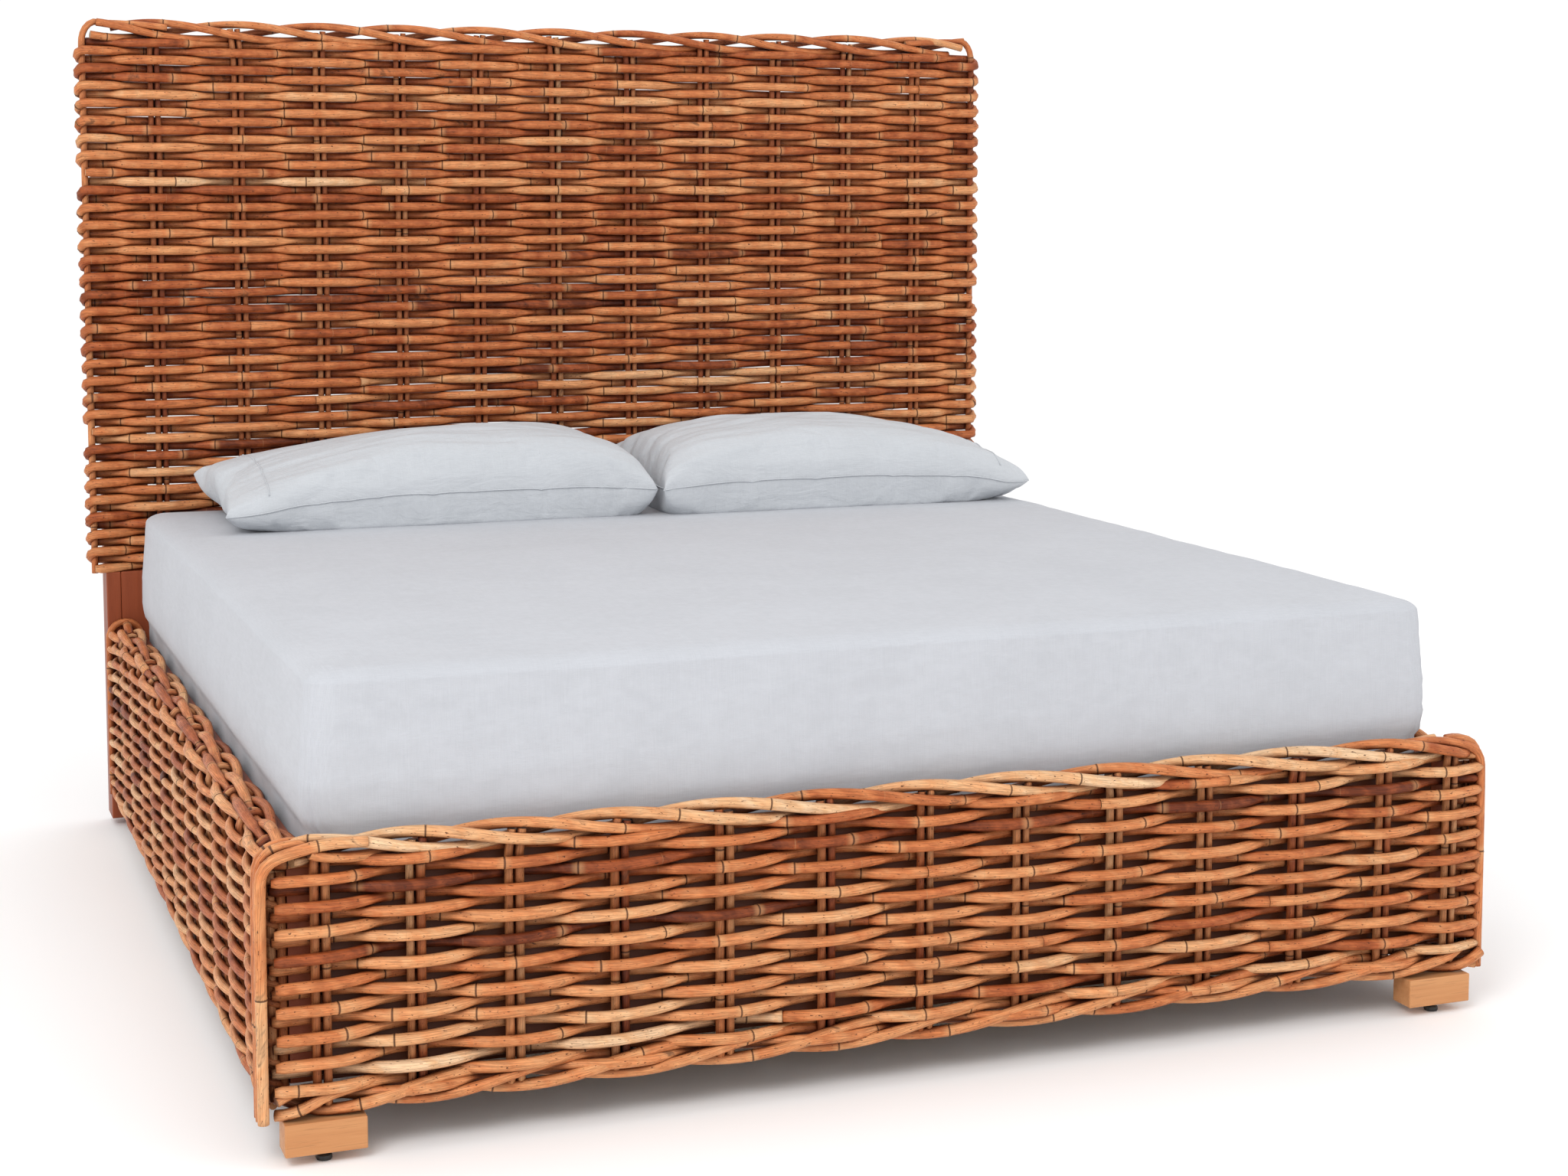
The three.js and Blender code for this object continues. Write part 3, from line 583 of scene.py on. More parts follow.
def headboard(rattan, stakes_material):
    middle = (HEAD_FRONT + HEAD_BACK) / 2
    rod = 10.3 * MM
    pole = 7.5 * MM
    stake = 6.8 * MM

    def place(a, c, n):
        return np.stack([a, middle - n, c], axis=-1)

    pitch = (HEAD_TOP - HEAD_BOTTOM) / HEAD_COURSES
    courses = [HEAD_BOTTOM + (i + 0.5) * pitch for i in range(HEAD_COURSES)]
    uprights = [-HEAD_POLE_X, *HEAD_PAIRS, HEAD_POLE_X]
    panel = Panel(place, uprights, courses, (HEAD_BACK - HEAD_FRONT) / 2 - rod, rod, 11, 0.8 * MM, 0.28 * MM)
    bands = 4
    for band in range(bands):
        rods = Rods(100 + band, 10, (0.42, 0.12))
        first, last = (round(HEAD_COURSES * k / bands) for k in (band, band + 1))
        lay_rods(rods, panel, panel.snake(first, last, 13, 9 * MM), (1.0, 3.0))
        layers = ("headboard_weave_front", "headboard_weave_back")
        rods.build(f"headboard_weave_{band + 1}", rattan, "rattan", *layers)

    rods = Rods(120, 10, (0.50, 0.10))
    rng = np.random.default_rng(121)
    top = HEAD_BORDER_TOP - 20 * MM
    for x in HEAD_PAIRS:
        lean = rng.uniform(-1, 1) * 7 * MM
        for side in (-1, 1):
            z = np.linspace(HEAD_BOTTOM + 2 * MM, top + rng.uniform(-3, 3) * MM, 60)
            bend = lean * np.clip((z - (top - 0.09)) / 0.09, 0, 1) ** 2
            wobble = 0.7 * MM * np.sin(z * rng.uniform(6, 11) + rng.uniform(0, 6))
            spread = (stake + 0.6 * MM) * side
            line = np.stack([x + spread + bend + wobble, np.full_like(z, middle) + 0.3 * wobble, z], axis=1)
            rods.add(line, stake * rng.uniform(0.94, 1.04), (0, -1, 0))
    rods.build("headboard_uprights", stakes_material, "rattan_stakes", "headboard_stakes")

    strand = 8.6 * MM
    crown = HEAD_BORDER_TOP - strand
    rise = 17.0 * MM
    rods = Rods(130, 12, (0.44, 0.09))
    bend, drop = 32 * MM, 46 * MM
    for name, sign in SIDES:
        edge = Rods(140 + sign, 12, (0.46, 0.08))
        lower = np.linspace(HEAD_BOTTOM - 3 * MM, crown - drop, 60)
        turn = np.linspace(0, math.pi / 2, 12)[1:]
        corner = HEAD_POLE_X - bend
        run = np.linspace(corner, corner - 0.15, 16)[1:]
        x = np.concatenate([np.full_like(lower, HEAD_POLE_X), HEAD_POLE_X - bend * (1 - np.cos(turn)), run])
        dip = np.clip((corner - run - 0.03) / 0.12, 0, 1) ** 1.5
        z = np.concatenate([lower, lower[-1] + drop * np.sin(turn), crown - 3 * MM - 8 * MM * dip])
        y = middle - 11 * MM * np.clip((corner - x) / 0.10, 0, 1)
        edge.add(np.stack([sign * x, y, z], axis=1), pole, (0, -1, 0))
        edge.build(f"headboard_edge_pole_{name}", rattan, "rattan", f"edge_pole_{name}")
    inner = HEAD_POLE_X - bend
    ends = [(-inner - 14 * MM, inner), (-inner, inner + 14 * MM), (-inner + 0.03, inner - 0.03)]
    twist(panel, rods, strand, crown - rise, rise, 14 * MM, ends, phase=1.0)
    rods.build("headboard_border", rattan, "rattan", "headboard_top_border")


# ---- footboard ----


def footboard_pairs():
    """Stake pairs along the footboard; the last ones on the right stand nearer to the end."""
    reach = np.concatenate([[0], np.cumsum(FOOT_STEPS)]) * MM
    right = reach + np.array(FOOT_RIGHT_SHIFTS) * MM
    return [*(-reach[:0:-1]), *right]


def footboard(rattan, stakes_material):
    middle = (FOOT_FRONT + FOOT_BACK) / 2
    rod = 8.9 * MM
    stake = 7.0 * MM
    pole = 8.5 * MM

    def place(a, c, n):
        return np.stack([a, middle - n, c], axis=-1)

    pitch = (FOOT_TOP - FOOT_BOTTOM) / FOOT_COURSES
    courses = [FOOT_BOTTOM + (i + 0.5) * pitch for i in range(FOOT_COURSES)]
    pairs = footboard_pairs()
    left_end = -(END_POLE_OUTER - 2 * pole - 11 * MM)
    right_end = END_POLE_OUTER - 10 * MM
    panel = Panel(
        place, [left_end, *pairs, right_end], courses, (FOOT_BACK - FOOT_FRONT) / 2 - rod, rod, 31, 2.4 * MM,
        settle=(0.9, 0.1),
    )
    rods = Rods(300, 12, (0.53, 0.18))
    for i in range(FOOT_COURSES):
        line = panel.course(i, 14)
        line[0, 0] += rods.rng.uniform(-3, 3) * MM
        lay_rods(rods, panel, line, (0.8, 2.2))
    rods.build("footboard_weave", rattan, "rattan", "footboard_weave_front", "footboard_weave_back")

    rods = Rods(320, 12, (0.57, 0.12))
    rng = np.random.default_rng(321)
    for x in pairs:
        lean = rng.uniform(-1, 1) * 8 * MM
        for side in (-1, 1):
            z = np.linspace(FOOT_BOTTOM - 4 * MM, FOOT_BORDER_TOP - (18 + rng.uniform(-3, 5)) * MM, 34)
            bend = lean * np.clip((z - (FOOT_TOP - 0.02)) / 0.05, 0, 1)
            line = np.stack([x + side * (stake + 0.8 * MM) + bend, np.full_like(z, middle), z], axis=1)
            rods.add(line, stake * rng.uniform(0.92, 1.06), (0, -1, 0))
    rods.build("footboard_uprights", stakes_material, "rattan_stakes", "footboard_stakes")

    strand = 8.8 * MM
    rise = 14.5 * MM
    rods = Rods(330, 12, (0.52, 0.13))
    crown = FOOT_BORDER_TOP - strand
    ends = [
        (left_end + 0.03, right_end - 0.06),
        (left_end + 0.055, right_end - 0.03),
        (left_end + 0.01, right_end - 0.09),
    ]
    twist(panel, rods, strand, crown - rise, rise, 15 * MM, ends, phase=1.0)
    rods.build("footboard_border_top", rattan, "rattan", "footboard_top_border")
    rods = Rods(340, 12, (0.48, 0.14))
    floor = FOOT_BORDER_BOTTOM + strand
    twist(panel, rods, strand, floor + 16.5 * MM, -16.5 * MM, 15 * MM, (left_end, right_end), phase=2.0)
    rods.build("footboard_border_bottom", rattan, "rattan", "footboard_bottom_border")

    bottom = span("end_pole_left_front", "z")[0]
    x0 = END_POLE_OUTER - pole
    corner_z = END_POLE_TOP - pole
    for name, sign in SIDES:
        shares = (0.0, 0.5, 1.0) if sign < 0 else (0.5, 0.75, 1.0)
        for k, (label, share) in enumerate(zip(("front", "middle", "back"), shares)):
            y = FOOT_FRONT + pole + share * (FOOT_BACK - FOOT_FRONT - 2 * pole)
            edge = Rods(350 + 10 * sign + k, 12, (0.46, 0.05))
            if k == 0:
                knots = [(0, -46), (4, -26), (16, -12), (40, -3), (100, 8), (158, 6)]
            else:
                knots = [(0, -40), (6, -14), (20, 0), (42, 5), (68, 4), (86 - 14 * k, 0)]
            over = [(x0 - inward * MM, corner_z + up * MM) for inward, up in knots]
            line = smooth_line([(x0, bottom), *over])
            edge.add(
                np.stack([sign * line[:, 0], np.full(len(line), y), line[:, 1]], axis=1), pole, (0, -1, 0),
            )
            node = f"end_pole_{name}_{'front' if label == 'front' else 'back'}"
            edge.build(f"footboard_end_pole_{name}_{label}", rattan, "rattan", node)


def smooth_line(knots, steps=8):
    """A rounded line through 2-D knots: each knot's corner is cut with a quadratic curve."""
    knots = np.array(knots, float)
    line = [knots[0]]
    for before, here, after in zip(knots[:-2], knots[1:-1], knots[2:]):
        start, stop = (before + here) / 2, (here + after) / 2
        for t in np.linspace(0, 1, steps + 1):
            line.append((1 - t) ** 2 * start + 2 * t * (1 - t) * here + t**2 * stop)
    line.append(knots[-1])
    line = np.array(line)
    keep = np.concatenate([[True], np.linalg.norm(np.diff(line, axis=0), axis=1) > 1e-6])
    return line[keep]


# ---- side rails ----


def side_rail(name, sign, rattan, stakes_material):
    strand = 7.1 * MM
    stake = 6.3 * MM
    line_x = RAIL_OUTER - 2 * strand - stake
    arch = 22.5 * MM
    shoulder = RAIL_TOP - arch - 18 * MM

    def place(a, c, n):
        angle = np.clip((c - shoulder) / arch, 0, math.pi)
        rest = c - shoulder - angle * arch
        x = line_x - arch + (arch + n) * np.cos(angle)
        z = shoulder + (arch + n) * np.sin(angle) + np.where(c < shoulder, c - shoulder, -rest)
        return np.stack([sign * x, a, z], axis=-1)

    centre = (RAIL_START + RAIL_END) / 2
    pairs = [centre + RAIL_PITCH * (i - (RAIL_PAIR_COUNT - 1) / 2) for i in range(RAIL_PAIR_COUNT)]
    start, end = RAIL_START + 10 * MM, RAIL_END - 12 * MM
    pitch = (shoulder - RAIL_BOTTOM) / RAIL_FACE_COURSES
    face = [RAIL_BOTTOM + (i + 0.5) * pitch for i in range(RAIL_FACE_COURSES)]
    crest_courses = 5
    over = math.pi * arch / crest_courses
    top = [shoulder + (i + 0.5) * over for i in range(crest_courses)]
    panel = Panel(place, [start, *pairs, end], face + top, strand + stake, strand, 50 + sign, 1.4 * MM)
    rods = Rods(500 + sign, 10, (0.54, 0.13))
    lay_rods(rods, panel, panel.snake(0, RAIL_FACE_COURSES, 13, 6 * MM), (0.9, 2.6))
    rods.build(f"side_rail_{name}_weaving", rattan, "rattan", f"side_rail_{name}_weave")
    rods = Rods(510 + sign, 12, (0.54, 0.12))
    crest = Panel(place, [start, *pairs, end], face + top, 11 * MM, 8.6 * MM, 60 + sign, 1.0 * MM)
    for i in range(RAIL_FACE_COURSES, RAIL_FACE_COURSES + crest_courses):
        lay_rods(rods, crest, crest.course(i, 13), (0.7, 2.0))
    rods.build(f"side_rail_{name}_crest", rattan, "rattan", f"side_rail_{name}_top_braid")

    rods = Rods(520 + sign, 10, (0.54, 0.12))
    for y in pairs:
        for side in (-1, 1):
            c = np.linspace(RAIL_BOTTOM - 6 * MM, shoulder + math.pi * arch + 14 * MM, 64)
            a = np.full_like(c, y + side * (stake + 0.5 * MM))
            rods.add(place(a, c, np.zeros_like(c)), stake * rods.rng.uniform(0.93, 1.05), (0, 1, 0))
    z = np.linspace(RAIL_BOTTOM, shoulder, 30)
    for inward in (4, 20, 36):
        x = np.full_like(z, sign * (RAIL_OUTER - inward * MM))
        line = np.stack([x, np.full_like(z, RAIL_START + 8 * MM), z], axis=1)
        rods.add(line, 8.8 * MM, (0, 1, 0))
    rods.build(f"side_rail_{name}_uprights", stakes_material, "rattan_stakes", f"side_rail_{name}_stakes")

    rods = Rods(530 + sign, 12, (0.40, 0.06))
    trim = 7.5 * MM
    c = np.linspace(RAIL_BOTTOM - 8 * MM, shoulder + math.pi * arch + 30 * MM, 80)
    rods.add(place(np.full_like(c, RAIL_END + trim), c, np.full_like(c, 12 * MM)), trim, (0, 1, 0))
    rods.build(f"side_rail_{name}_hoop", rattan, "rattan", f"side_rail_{name}_end_trim")
    rods = Rods(540 + sign, 10, (0.48, 0.1))
    twist(panel, rods, 7.0 * MM, RAIL_BOTTOM + 1 * MM, -8 * MM, 12 * MM, (start, end), phase=0.0)
    rods.build(f"side_rail_{name}_border", rattan, "rattan")


# ---- wooden parts and levellers ----


def soften_edges(node, width):
    """Joins the split corners of a CAD solid and rounds its edges, without touching its mesh."""
    weld = node.modifiers.new("weld", "WELD")
    weld.merge_threshold = 0.01 * MM
    bevel = node.modifiers.new("bevel", "BEVEL")
    bevel.width = width
    bevel.segments = 3
    bevel.limit_method = "ANGLE"
    bevel.angle_limit = math.radians(40)
    bevel.harden_normals = False


def wooden_parts():
    """Gives each wooden CAD solid its wood, by the start and end of its name, and soft edges."""
    red = ((0.295, 0.068, 0.025), (0.18, 0.036, 0.012))
    warm = ((0.60, 0.295, 0.125), (0.46, 0.190, 0.072))
    pale = ((0.66, 0.46, 0.26), (0.50, 0.32, 0.16))
    upright = wood_material("post_wood", *red, 2)
    across = wood_material("rail_wood", *red, 0)
    lengthways = wood_material("board_wood", *red, 1)
    # Painted shade: the footboard's inner board is made near black, so the gaps in the weave show the dark of
    # the shaded space behind it.
    painted_shade_wood = wood_material("inner_board_painted_shade", (0.11, 0.030, 0.011), (0.06, 0.014, 0.005), 0)
    beech = wood_material("beech", *warm, 0)
    pine_x = wood_material("pine_across", *pale, 0)
    pine_y = wood_material("pine_lengthways", *pale, 1)
    pine_z = wood_material("pine_upright", *pale, 2)
    woods = [
        ("post_", "", upright, 3.0),
        ("headboard_", "rail", across, 2.5),
        ("head_end_rail", "", across, 2.5),
        ("foot_block", "", beech, 2.0),
        ("footboard_inner_board", "", painted_shade_wood, 2.0),
        ("", "_board", lengthways, 2.0),
        ("", "_ledge", pine_y, 2.0),
        ("centre_beam", "", pine_y, 2.0),
        ("centre_leg", "", pine_z, 2.0),
        ("slat_", "", pine_x, 3.0),
    ]
    for name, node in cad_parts.items():
        for start, end, material, width in woods:
            if name.startswith(start) and name.endswith(end):
                for slot in node.material_slots:
                    slot.material = material
                soften_edges(node, width * MM)
                break


def lathe(profile, sides):
    """Closed turned body from (radius, height) points."""
    turn = 2 * math.pi * np.arange(sides) / sides
    points = np.array([(r * math.cos(angle), r * math.sin(angle), z) for r, z in profile for angle in turn])
    last = (len(profile) - 1) * sides
    faces = [
        (i + k, i + (k + 1) % sides, i + sides + (k + 1) % sides, i + sides + k)
        for i in range(0, last, sides) for k in range(sides)
    ]
    faces.append(tuple(reversed(range(sides))))
    faces.append(tuple(last + k for k in range(sides)))
    return points, faces


def levellers(plastic, steel):
    """Each foot: a ribbed round pad with a domed shoulder, and a threaded steel stem."""
    pad = [(0.80, 0.0), (0.92, 0.4), (1.0, 1.8), (1.0, 6.6), (0.93, 8.0), (0.62, 10.6), (0.56, 12.0)]
    pad_top = 16.4
    stem, root = 4.0 * MM, 0.86 * 4.0 * MM
    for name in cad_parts:
        if not name.startswith("leveller_"):
            continue
        low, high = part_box(name)
        foot = np.array([(low.x + high.x) / 2, (low.y + high.y) / 2, low.z])
        radius, height = (high.x - low.x) / 2, high.z - low.z
        profile = [(radius * share, z * MM) for share, z in [*pad, (0.56, pad_top)]]
        points, faces = lathe(profile, 48)
        z = points[:, 2]
        grooves = (z > 1.7 * MM) & (z < 6.8 * MM) & (np.arange(len(z)) % 4 < 2)
        points[grooves, :2] *= 0.955
        mesh = mesh_of(name + "_pad", points + foot, faces)
        piece = put_in_scene(name + "_pad", mesh, plastic, name + "_screw")
        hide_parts(name)
        thread = []
        z = pad_top * MM
        while z < height - 1 * MM:
            thread += [(root, z), (stem, z + 0.45 * MM), (stem, z + 0.65 * MM), (root, z + 1.1 * MM)]
            z += 1.25 * MM
        thread.append((stem * 0.7, height))
        points, faces = lathe(thread, 16)
        mesh = mesh_of(name + "_stem", points + foot, faces, smooth=False)
        put_in_scene(name + "_stem", mesh, steel, name + "_screw")


# ---- bedding ----


def rounded_block(low, high, corner, edge, flat_steps, corner_steps):
    """Closed soft block: grid faces whose vertical corners and horizontal edges are rounded."""
    low, high = np.array(low, float), np.array(high, float)
    centre, half = (low + high) / 2, (high - low) / 2
    radii = np.array([corner, corner, edge])

    def axis(k):
        bend = np.sin(np.linspace(0, math.pi / 4, corner_steps + 1))[:-1] / math.sin(math.pi / 4)
        flat = np.linspace(-(half[k] - radii[k]), half[k] - radii[k], flat_steps[k] + 1)
        start = -half[k] + radii[k] * bend
        return np.concatenate([start, flat, -start[::-1]])

    grid = [axis(k) for k in range(3)]
    index, points, faces = {}, [], []

    def vertex(ijk):
        if ijk not in index:
            index[ijk] = len(points)
            points.append([grid[k][ijk[k]] for k in range(3)])
        return index[ijk]

    for k in range(3):
        i, j = [(1, 2), (2, 0), (0, 1)][k]
        for level, end in ((0, -1), (len(grid[k]) - 1, 1)):
            for p in range(len(grid[i]) - 1):
                for q in range(len(grid[j]) - 1):
                    ring = []
                    for dp, dq in ((0, 0), (1, 0), (1, 1), (0, 1)):
                        at = [0, 0, 0]
                        at[k], at[i], at[j] = level, p + dp, q + dq
                        ring.append(vertex(tuple(at)))
                    faces.append(ring if end > 0 else ring[::-1])
    points = np.array(points)
    inner = np.clip(points, -(half - radii), half - radii)
    out = (points - inner) / radii
    length = np.maximum(np.linalg.norm(out, axis=1), 1e-9)[:, None]
    return centre + inner + radii * out / length, faces


def only_used(points, faces):
    """The points that some face uses, the faces with their new numbers, and the old numbers."""
    used = sorted({k for ring in faces for k in ring})
    number = {old: new for new, old in enumerate(used)}
    return points[used], [[number[k] for k in ring] for ring in faces], used


def cord_mesh(name, lines, radius, sides=6):
    """Thin closed tubes along lines, gathered into one mesh: the stitched seams."""
    points, faces = [], []
    for line in lines:
        line = np.asarray(line, float)
        tangent = np.gradient(line, axis=0)
        tangent /= np.linalg.norm(tangent, axis=1)[:, None]
        helper = np.tile([0.31, 0.17, 0.93], (len(line), 1))
        a = np.cross(tangent, helper)
        a /= np.linalg.norm(a, axis=1)[:, None]
        b = np.cross(tangent, a)
        first = len(points)
        for k in range(len(line)):
            for j in range(sides):
                angle = 2 * math.pi * j / sides
                points.append(line[k] + radius * (math.cos(angle) * a[k] + math.sin(angle) * b[k]))
        for k in range(len(line) - 1):
            for j in range(sides):
                here, there = first + k * sides, first + (k + 1) * sides
                faces.append((here + j, there + j, there + (j + 1) % sides, here + (j + 1) % sides))
        last = first + (len(line) - 1) * sides
        faces.append(tuple(first + j for j in range(sides)))
        faces.append(tuple(last + j for j in reversed(range(sides))))
    return mesh_of(name, points, faces)


def mattress_core(ticking):
    points, faces = rounded_block(*MATTRESS, 45 * MM, 24 * MM, (60, 60, 8), 6)
    mesh = mesh_of("mattress_core", points, faces)
    core = put_in_scene("mattress_core", mesh, ticking, "mattress_set")
    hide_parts("mattress")


def fitted_sheet(cloth):
    """A block without its underside, shaped by what it lies on, with thickness inwards."""
    corner = 46 * MM
    low, high = Vector(SHEET[0]), Vector(SHEET[1])
    below = Vector((0, 0, 60 * MM))
    points, faces = rounded_block(low - below, high, corner, 20 * MM, (150, 150, 30), 14)
    keep = points[:, 2] >= low.z - 1e-6
    points, faces, _ = only_used(points, [ring for ring in faces if all(keep[k] for k in ring)])
    x, y, z = points.T.copy()
    middle_y, half_y = (low.y + high.y) / 2, (high.y - low.y) / 2
    side_x, side_y = np.sign(x), np.sign(y - middle_y)

    creases = ripple(71, 1.1, 0.10, 0.5 * MM)
    broad = ripple(72, 0.8, 0.6, 1.0 * MM)
    crown = 5 * MM * (1 - (x / high.x) ** 2) * (1 - ((y - middle_y) / half_y) ** 2)
    upper = np.clip((z - (high.z - 25 * MM)) / (25 * MM), 0, 1)
    points[:, 2] += upper * (np.clip(crown, 0, None) + creases(x, y) + broad(x, y))

    drape = ripple(73, 0.9, 0.09, 0.7 * MM)
    lower = np.clip((high.z - z) / (high.z - low.z), 0, 1)
    beyond_x, beyond_y = np.abs(x) - (high.x - corner), np.abs(y - middle_y) - (half_y - corner)
    rounded = (beyond_x > 0) & (beyond_y > 0)
    offset = np.where(rounded, (np.arctan2(beyond_y, beyond_x) - math.pi / 4) * corner, 1.0)
    pucker = 1 + 0.5 * np.sin(z * 210) * lower
    fold = np.exp(-(((np.abs(offset) - 6 * MM) / (4 * MM)) ** 2))
    seam = 2.6 * MM * fold * (0.3 + 0.7 * lower) * pucker
    push = (1 - upper) * np.clip(drape(x + y, z), 0, 2 * MM)
    above = np.clip((z - RAIL_TOP - 4 * MM) / (high.z - RAIL_TOP - 4 * MM), 0, 1)
    bulge = np.sin(math.pi * above**0.5)
    points[:, 0] += side_x * (seam + push + 13 * MM * bulge) * (beyond_x > 0)
    points[:, 1] += side_y * (seam + push + 5 * MM * bulge) * (beyond_y > 0)
    mesh = mesh_of("fitted_sheet_cloth", points, faces)
    sheet = put_in_scene("fitted_sheet_cloth", mesh, cloth, "mattress_set")
    thick = sheet.modifiers.new("thickness", "SOLIDIFY")
    thick.thickness = 1.5 * MM
    thick.offset = -1
    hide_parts("fitted_sheet")


def coordinates_of(mesh):
    flat = np.empty(len(mesh.vertices) * 3)
    mesh.vertices.foreach_get("co", flat)
    return flat.reshape(-1, 3)


def swell(mesh, held, floor, cap):
    """Runs a short cloth simulation under pressure and keeps its result in the mesh.

    The held vertices stay, none goes below the floor height, and none moves further than cap.
    """
    scene = bpy.context.scene
    trial = bpy.data.objects.new("cloth_trial", mesh)
    scene.collection.objects.link(trial)
    trial.vertex_groups.new(name="held").add(held, 1.0, "REPLACE")
    cloth = trial.modifiers.new("cloth", "CLOTH")
    cloth.settings.quality = 5
    cloth.settings.mass = 0.3
    cloth.settings.bending_stiffness = 0.3
    cloth.settings.shrink_min = -0.035
    cloth.settings.use_pressure = True
    cloth.settings.uniform_pressure_force = 4
    cloth.settings.effector_weights.gravity = 0
    cloth.settings.vertex_group_mass = "held"
    cloth.collision_settings.use_collision = False
    for number in range(1, 21):
        scene.frame_set(number)
    evaluated = trial.evaluated_get(bpy.context.evaluated_depsgraph_get())
    before, after = coordinates_of(mesh), coordinates_of(evaluated.to_mesh())
    evaluated.to_mesh_clear()
    move = after - before
    length = np.maximum(np.linalg.norm(move, axis=1), 1e-9)[:, None]
    result = before + move * np.minimum(1, cap / length)
    result[:, 2] = np.maximum(result[:, 2], floor)
    bpy.data.objects.remove(trial)
    scene.frame_set(1)
    mesh.vertices.foreach_set("co", result.ravel())
    mesh.update()


def pillow(name, sign, cloth):
    """A plump pillow in a case whose open, hemmed end points to the outside of the bed."""
    low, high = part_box(f"pillow_{name}")
    centre, half = (low + high) / 2, (high - low) / 2
    columns, rows = 140, 70
    u, v = np.linspace(-1, 1, columns + 1), np.linspace(-1, 1, rows + 1)
    uu, vv = np.meshgrid(u, v, indexing="ij")
    outward = uu * sign
    hem_start = 0.80
    hem = np.clip((outward - hem_start) / (1 - hem_start), 0, 1)
    inner = np.clip(-outward, 0, 1)
    skew = uu + sign * 0.06 * (1 - uu**2)
    full = np.clip(1 - np.abs(skew) ** 4.4, 0, 1) ** 0.38 * np.clip(1 - np.abs(vv) ** 2.8, 0, 1) ** 0.50
    full = full * (1 - 0.38 * np.clip((outward - 0.05) / 0.8, 0, 1) ** 1.3) * (1 - 0.20 * hem)
    outer = np.clip(outward, 0, 1)
    seam_height = (66 - 17 * outer**2 + 30 * outer**3 * vv - 8 * inner**4) * MM
    ear = hem**2 * vv**4
    short = 36 * MM * outer**3 if sign > 0 else 0
    x = centre.x + uu * half.x * (1 - 0.035 * (1 - vv**2)) - short
    y = centre.y + vv * half.y * (1 - 0.05 * (1 - uu**2)) * (1 - 0.10 * hem)
    dents = ripple(800 + sign, 0.50, 0.26, 4.6 * MM)(x, y)
    folds = ripple(810 + sign, 0.30, 0.045, 2.2 * MM)(x, y)
    ends = np.exp(-(1 - np.abs(uu)) / 0.13) * np.sin(19 * vv + 4 * np.sin(3 * uu + 2 * vv))
    edges = np.exp(-(1 - np.abs(vv)) / 0.10) * np.sin(46 * uu + 7 * np.sin(5 * uu)) * (1 - vv**8)
    flutter = hem * 6 * MM * np.sin(7 * vv + 1.5 * sign)
    wrinkle = np.sqrt(full) * (dents + folds + 3.4 * MM * ends + 1.6 * MM * edges) + flutter
    base, lift = low.z, 0.3 * MM
    seam = base + seam_height + 12 * MM * ear + hem * 4 * MM * np.sin(5 * vv)
    upper = seam + full * (high.z - base - 72 * MM) + wrinkle
    tuck = (seam_height + 14 * MM) * np.clip(full * 2.0, 0, 1)
    under = np.maximum(seam - tuck + 0.5 * wrinkle, base + lift)
    under = np.minimum(under, upper - 0.8 * MM * (full > 0))
    border = (np.abs(uu) == 1) | (np.abs(vv) == 1)
    under = np.where(border, upper, under)
    top_points = np.stack([x, y, upper], -1).reshape(-1, 3)
    points = np.concatenate([top_points, np.stack([x, y, under], -1).reshape(-1, 3)])
    n, edge = len(top_points), border.ravel()
    corners = [i * (rows + 1) + j for i in range(columns) for j in range(rows)]
    above = [[a, a + rows + 1, a + rows + 2, a + 1] for a in corners]
    below = [[k if edge[k] else k + n for k in reversed(ring)] for ring in above]
    kept, faces, used = only_used(points, above + below)
    mesh = mesh_of(f"pillow_{name}_case", kept, faces)
    resting = np.flatnonzero(kept[:, 2] < base + 1 * MM).tolist()
    swell(mesh, resting, base + lift, 13 * MM)
    points[used] = coordinates_of(mesh)
    piece = put_in_scene(f"pillow_{name}_case", mesh, cloth, f"pillow_{name}_body")
    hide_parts(f"pillow_{name}")
    piece.modifiers.new("smooth", "SUBSURF").render_levels = 1

    surface = points[:n].reshape(columns + 1, rows + 1, 3)
    at = int(np.abs(outward[:, 0] - hem_start).argmin())
    hem_line = surface[at, 3:-3] + np.array([0, 0, 0.5 * MM])
    closed = surface[-1 if sign < 0 else 0]
    lines = [surface[1:-1, 0], surface[1:-1, -1], closed[1:-1], hem_line]
    seams = cord_mesh(f"pillow_{name}_seams", lines, 1.5 * MM)
    put_in_scene(f"pillow_{name}_seams", seams, cloth, f"pillow_{name}_body")


# ---- stage ----


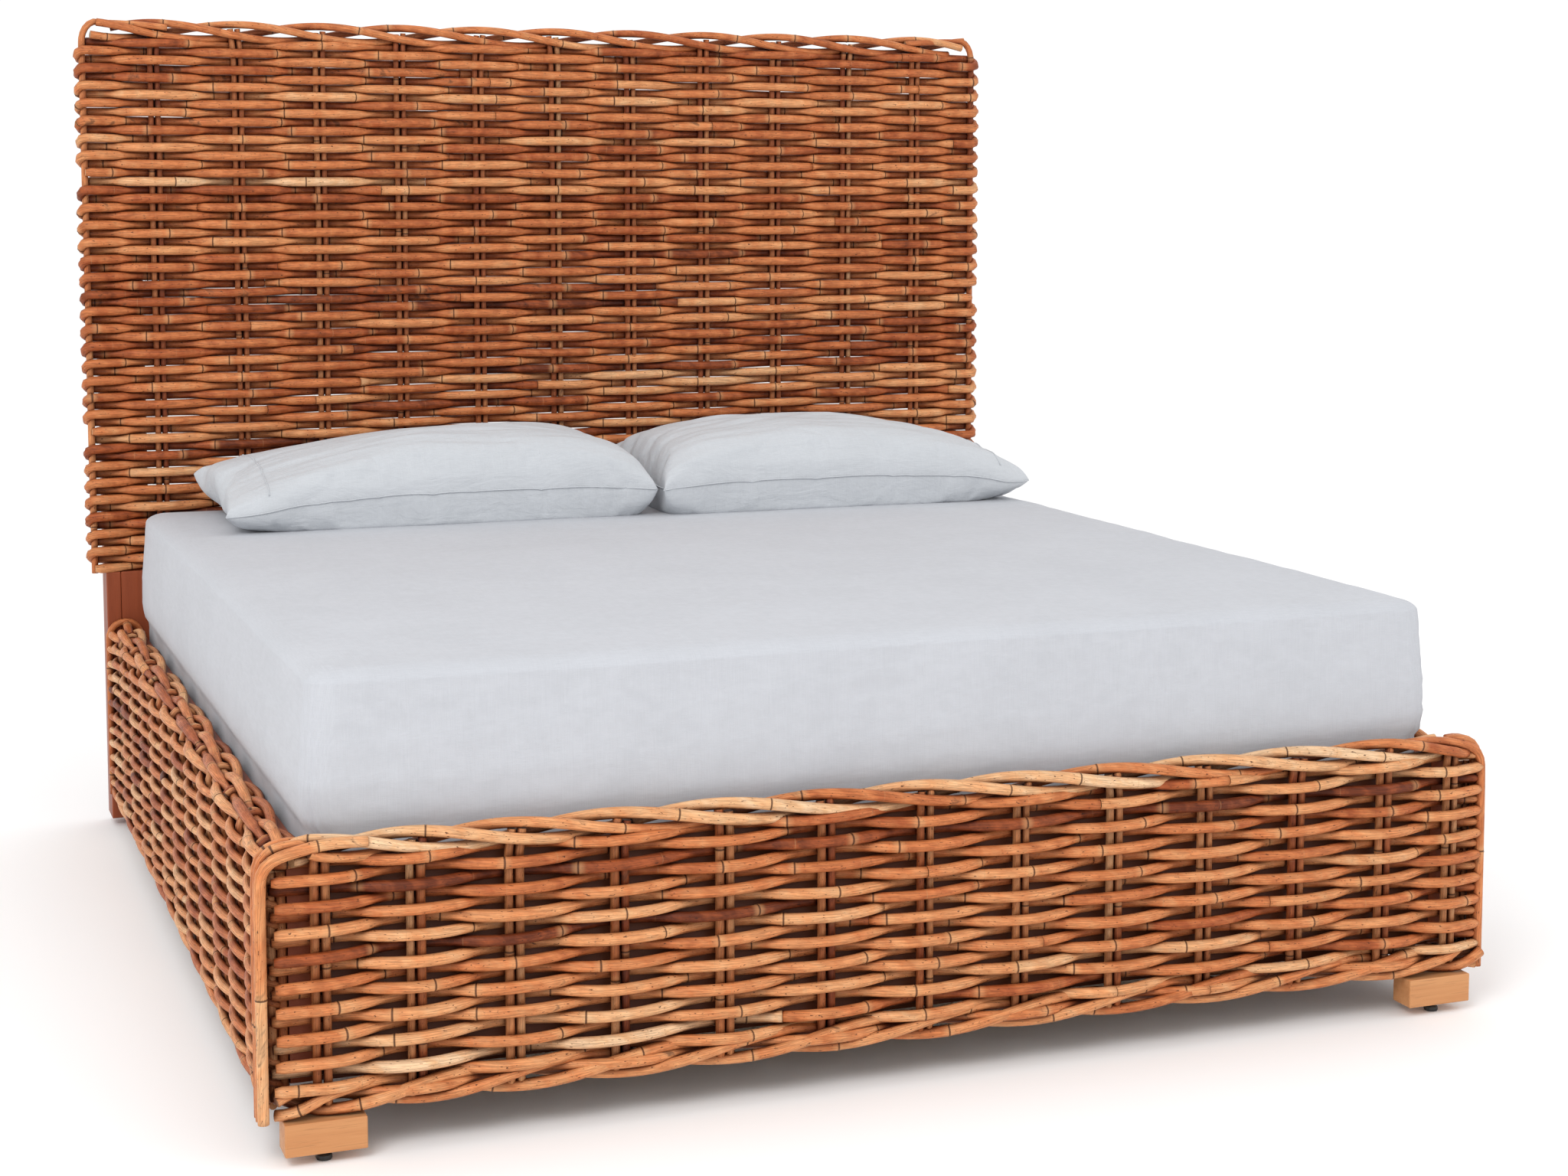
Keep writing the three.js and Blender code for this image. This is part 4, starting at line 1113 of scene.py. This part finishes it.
def area_light(name, place, target, size, power):
    data = bpy.data.lights.new(name, "AREA")
    data.shape = "RECTANGLE"
    data.size, data.size_y = size
    data.energy = power
    light = bpy.data.objects.new(name, data)
    light.location = place
    aim = Vector(target) - Vector(place)
    light.rotation_euler = aim.to_track_quat("-Z", "Y").to_euler()
    bpy.context.scene.collection.objects.link(light)


def stage():
    """Pale floor in an even white studio, with three soft lights."""
    reach = 60
    corners = [(-reach, -reach, 0), (reach, -reach, 0), (reach, reach, 0), (-reach, reach, 0)]
    mesh = mesh_of("floor", corners, [(0, 1, 2, 3)], smooth=False)
    mesh.materials.append(Shader("floor").finish((0.96, 0.96, 0.96), 1.0, specular=0.0))
    floor = bpy.data.objects.new("floor", mesh)
    bpy.context.scene.collection.objects.link(floor)
    world = bpy.data.worlds.new("studio")
    world.use_nodes = True
    background = world.node_tree.nodes["Background"]
    background.inputs["Color"].default_value = (1, 1, 1, 1)
    background.inputs["Strength"].default_value = 1.05
    bpy.context.scene.world = world
    area_light("key", (-3.2, -4.2, 4.2), (0, 0, 0.6), (2.6, 2.0), 120)
    area_light("fill", (4.0, -3.5, 2.6), (0, 0, 0.6), (3.0, 3.0), 25)
    area_light("top", (0, 0.5, 5.0), (0, 0, 0.5), (5.0, 5.0), 10)
    bpy.context.scene.view_settings.view_transform = "Standard"


# ---- everything ----

camera()
rattan = rattan_material("rattan")
stakes_rattan = rattan_material("rattan_uprights", 0.92)
headboard(rattan, stakes_rattan)
footboard(rattan, stakes_rattan)
for name, sign in SIDES:
    side_rail(name, sign, rattan, stakes_rattan)
wooden_parts()
levellers(plastic_material("black_plastic"), steel_material("zinc"))
sheet_linen = linen_material("sheet_linen", (0.485, 0.498, 0.532), 1.0, 0.30)
pillow_linen = linen_material("pillow_linen", (0.525, 0.546, 0.574), 1.3, 1.5)
mattress_core(linen_material("ticking", (0.82, 0.80, 0.75)))
fitted_sheet(sheet_linen)
for name, sign in SIDES:
    pillow(name, sign, pillow_linen)
stage()
